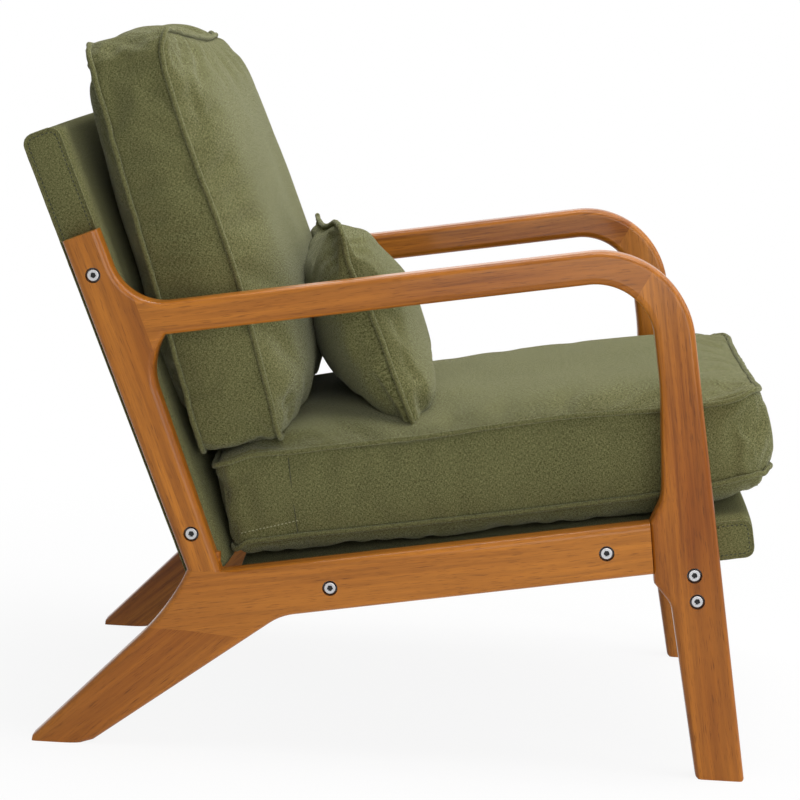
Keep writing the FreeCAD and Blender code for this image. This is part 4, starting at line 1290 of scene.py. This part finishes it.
run = stretch_of(seat_board, seat_cushion, seat.boxing[1],
                 lambda p: (p[:, 1] > 0.235) & (np.abs(p[:, 0]) < SEAT_HALF - 0.022))
zip_on("seat_cushion_zip_band", seat_cushion, seat.boxing[1:3][:, run], "seat_cushion",
       ("seat_cushion_zip",))
run = stretch_of(cushion_board, back_cushion, back.boxing[6],
                 lambda p: (p[:, 1] < 0.02) & (np.abs(p[:, 0]) < 0.215))
zip_on("back_cushion_zip_band", back_cushion, back.boxing[6][run], "back_cushion",
       ("back_cushion_zip",))
zip_on("lumbar_pillow_zip_band", lumbar_pillow, pillow.rear[2, 10:-10], "lumbar_pillow",
       ("lumbar_pillow_zip",))

# %% The hem by the seat cushion's rear corners
SIDE_AT = 0.272


def on_side(side, start, end, lift):
    """A straight line across the seat cushion's side, from one (rearward, up) place to another."""
    steps = np.linspace(0, 1, 24)[:, None]
    local = np.array([side * SIDE_AT, *start]) * (1 - steps) + np.array([side * SIDE_AT, *end]) * steps
    for _ in range(6):
        found = on_surface(seat_cushion, seat_board.place(local), 0.0)[0]
        local[:, 0] = seat_board.flatten(found)[:, 0]
    local[:, 0] = np.convolve(np.pad(local[:, 0], 3, mode="edge"), np.ones(7) / 7, mode="valid")
    outs = on_surface(seat_cushion, seat_board.place(local), 0.0)[1]
    local[:, 0] += side * lift
    return seat_board.place(local), outs


rows = []
for side, name in ((-1, "near"), (1, "far")):
    rows.append((*on_side(side, (0.192, 0.0964), (0.255, 0.0890), 0.0006), False))
    # The seam's line is a close, overlapping row of dark thread beads: painted shade for the crease along
    # the seam
    seam = on_side(side, (0.193, 0.084), (0.193, 0.166), 0.0001)
    beaded("hem_seam_shade_line_" + name, [(*seam, False)], olive_thread, "seat_cushion", "upholstery",
           pitch=0.0016, length=0.0028, width=0.0010, height=0.0007)
pale_thread = cloth("pale_thread", srgb(150, 150, 112), srgb(186, 186, 150), sheen=0.1)
beaded("hem_stitches", rows, pale_thread, "seat_cushion", "upholstery",
       pitch=0.0042, length=0.0028, width=0.0013, height=0.0010)

# %% [markdown]
# ## The dust cover
# A thin black lining closes the window in the seat panel's underside. It is cut as one flat
# rectangle and pulled taut, and staples hold it all round.

# %% Dust cover and staples
LINING_LIFT, STAPLE_LIFT, STAPLE_INSET = 0.0009, 0.0008, 0.005
across, ahead_rows = (np.linspace(*seat_board.span("seat_panel_dust_cover", axis), count)
                      for axis, count in enumerate((37, 33)))
grid = np.stack(np.meshgrid(across, ahead_rows), axis=-1)
level = LINING_LIFT + 0.00015 * soft_noise(grid.reshape(-1, 2), 0.09, 51).reshape(grid.shape[:2])
work = Patchwork("dust_cover_lining")
ids = work.add(np.concatenate([grid, level[..., None]], axis=-1))
work.sew(ids, grid, flip=True)
dust_cover = work.build()
lay_on(seat_board, dust_cover)
dress(dust_cover, lining, "chair_frame", ("seat_panel_dust_cover",))
corners = np.array([(across[k], ahead_rows[m]) for k, m in ((0, 0), (-1, 0), (-1, -1), (0, -1))])
corners = corners - np.sign(corners - corners.mean(axis=0)) * STAPLE_INSET
steps = np.linspace(0, 1, 20)[:-1, None]
loop = np.concatenate([corners[k] + (corners[(k + 1) % 4] - corners[k]) * steps for k in range(4)])
loop = np.concatenate([loop, np.full((len(loop), 1), STAPLE_LIFT)], axis=1)
down = np.tile(-seat_board.axes[:, 2], (len(loop), 1))
beaded("staples", [(seat_board.place(loop), down, True)], steel, "chair_frame", "lining",
       pitch=0.042, length=0.0100, width=0.0010, height=0.0007)
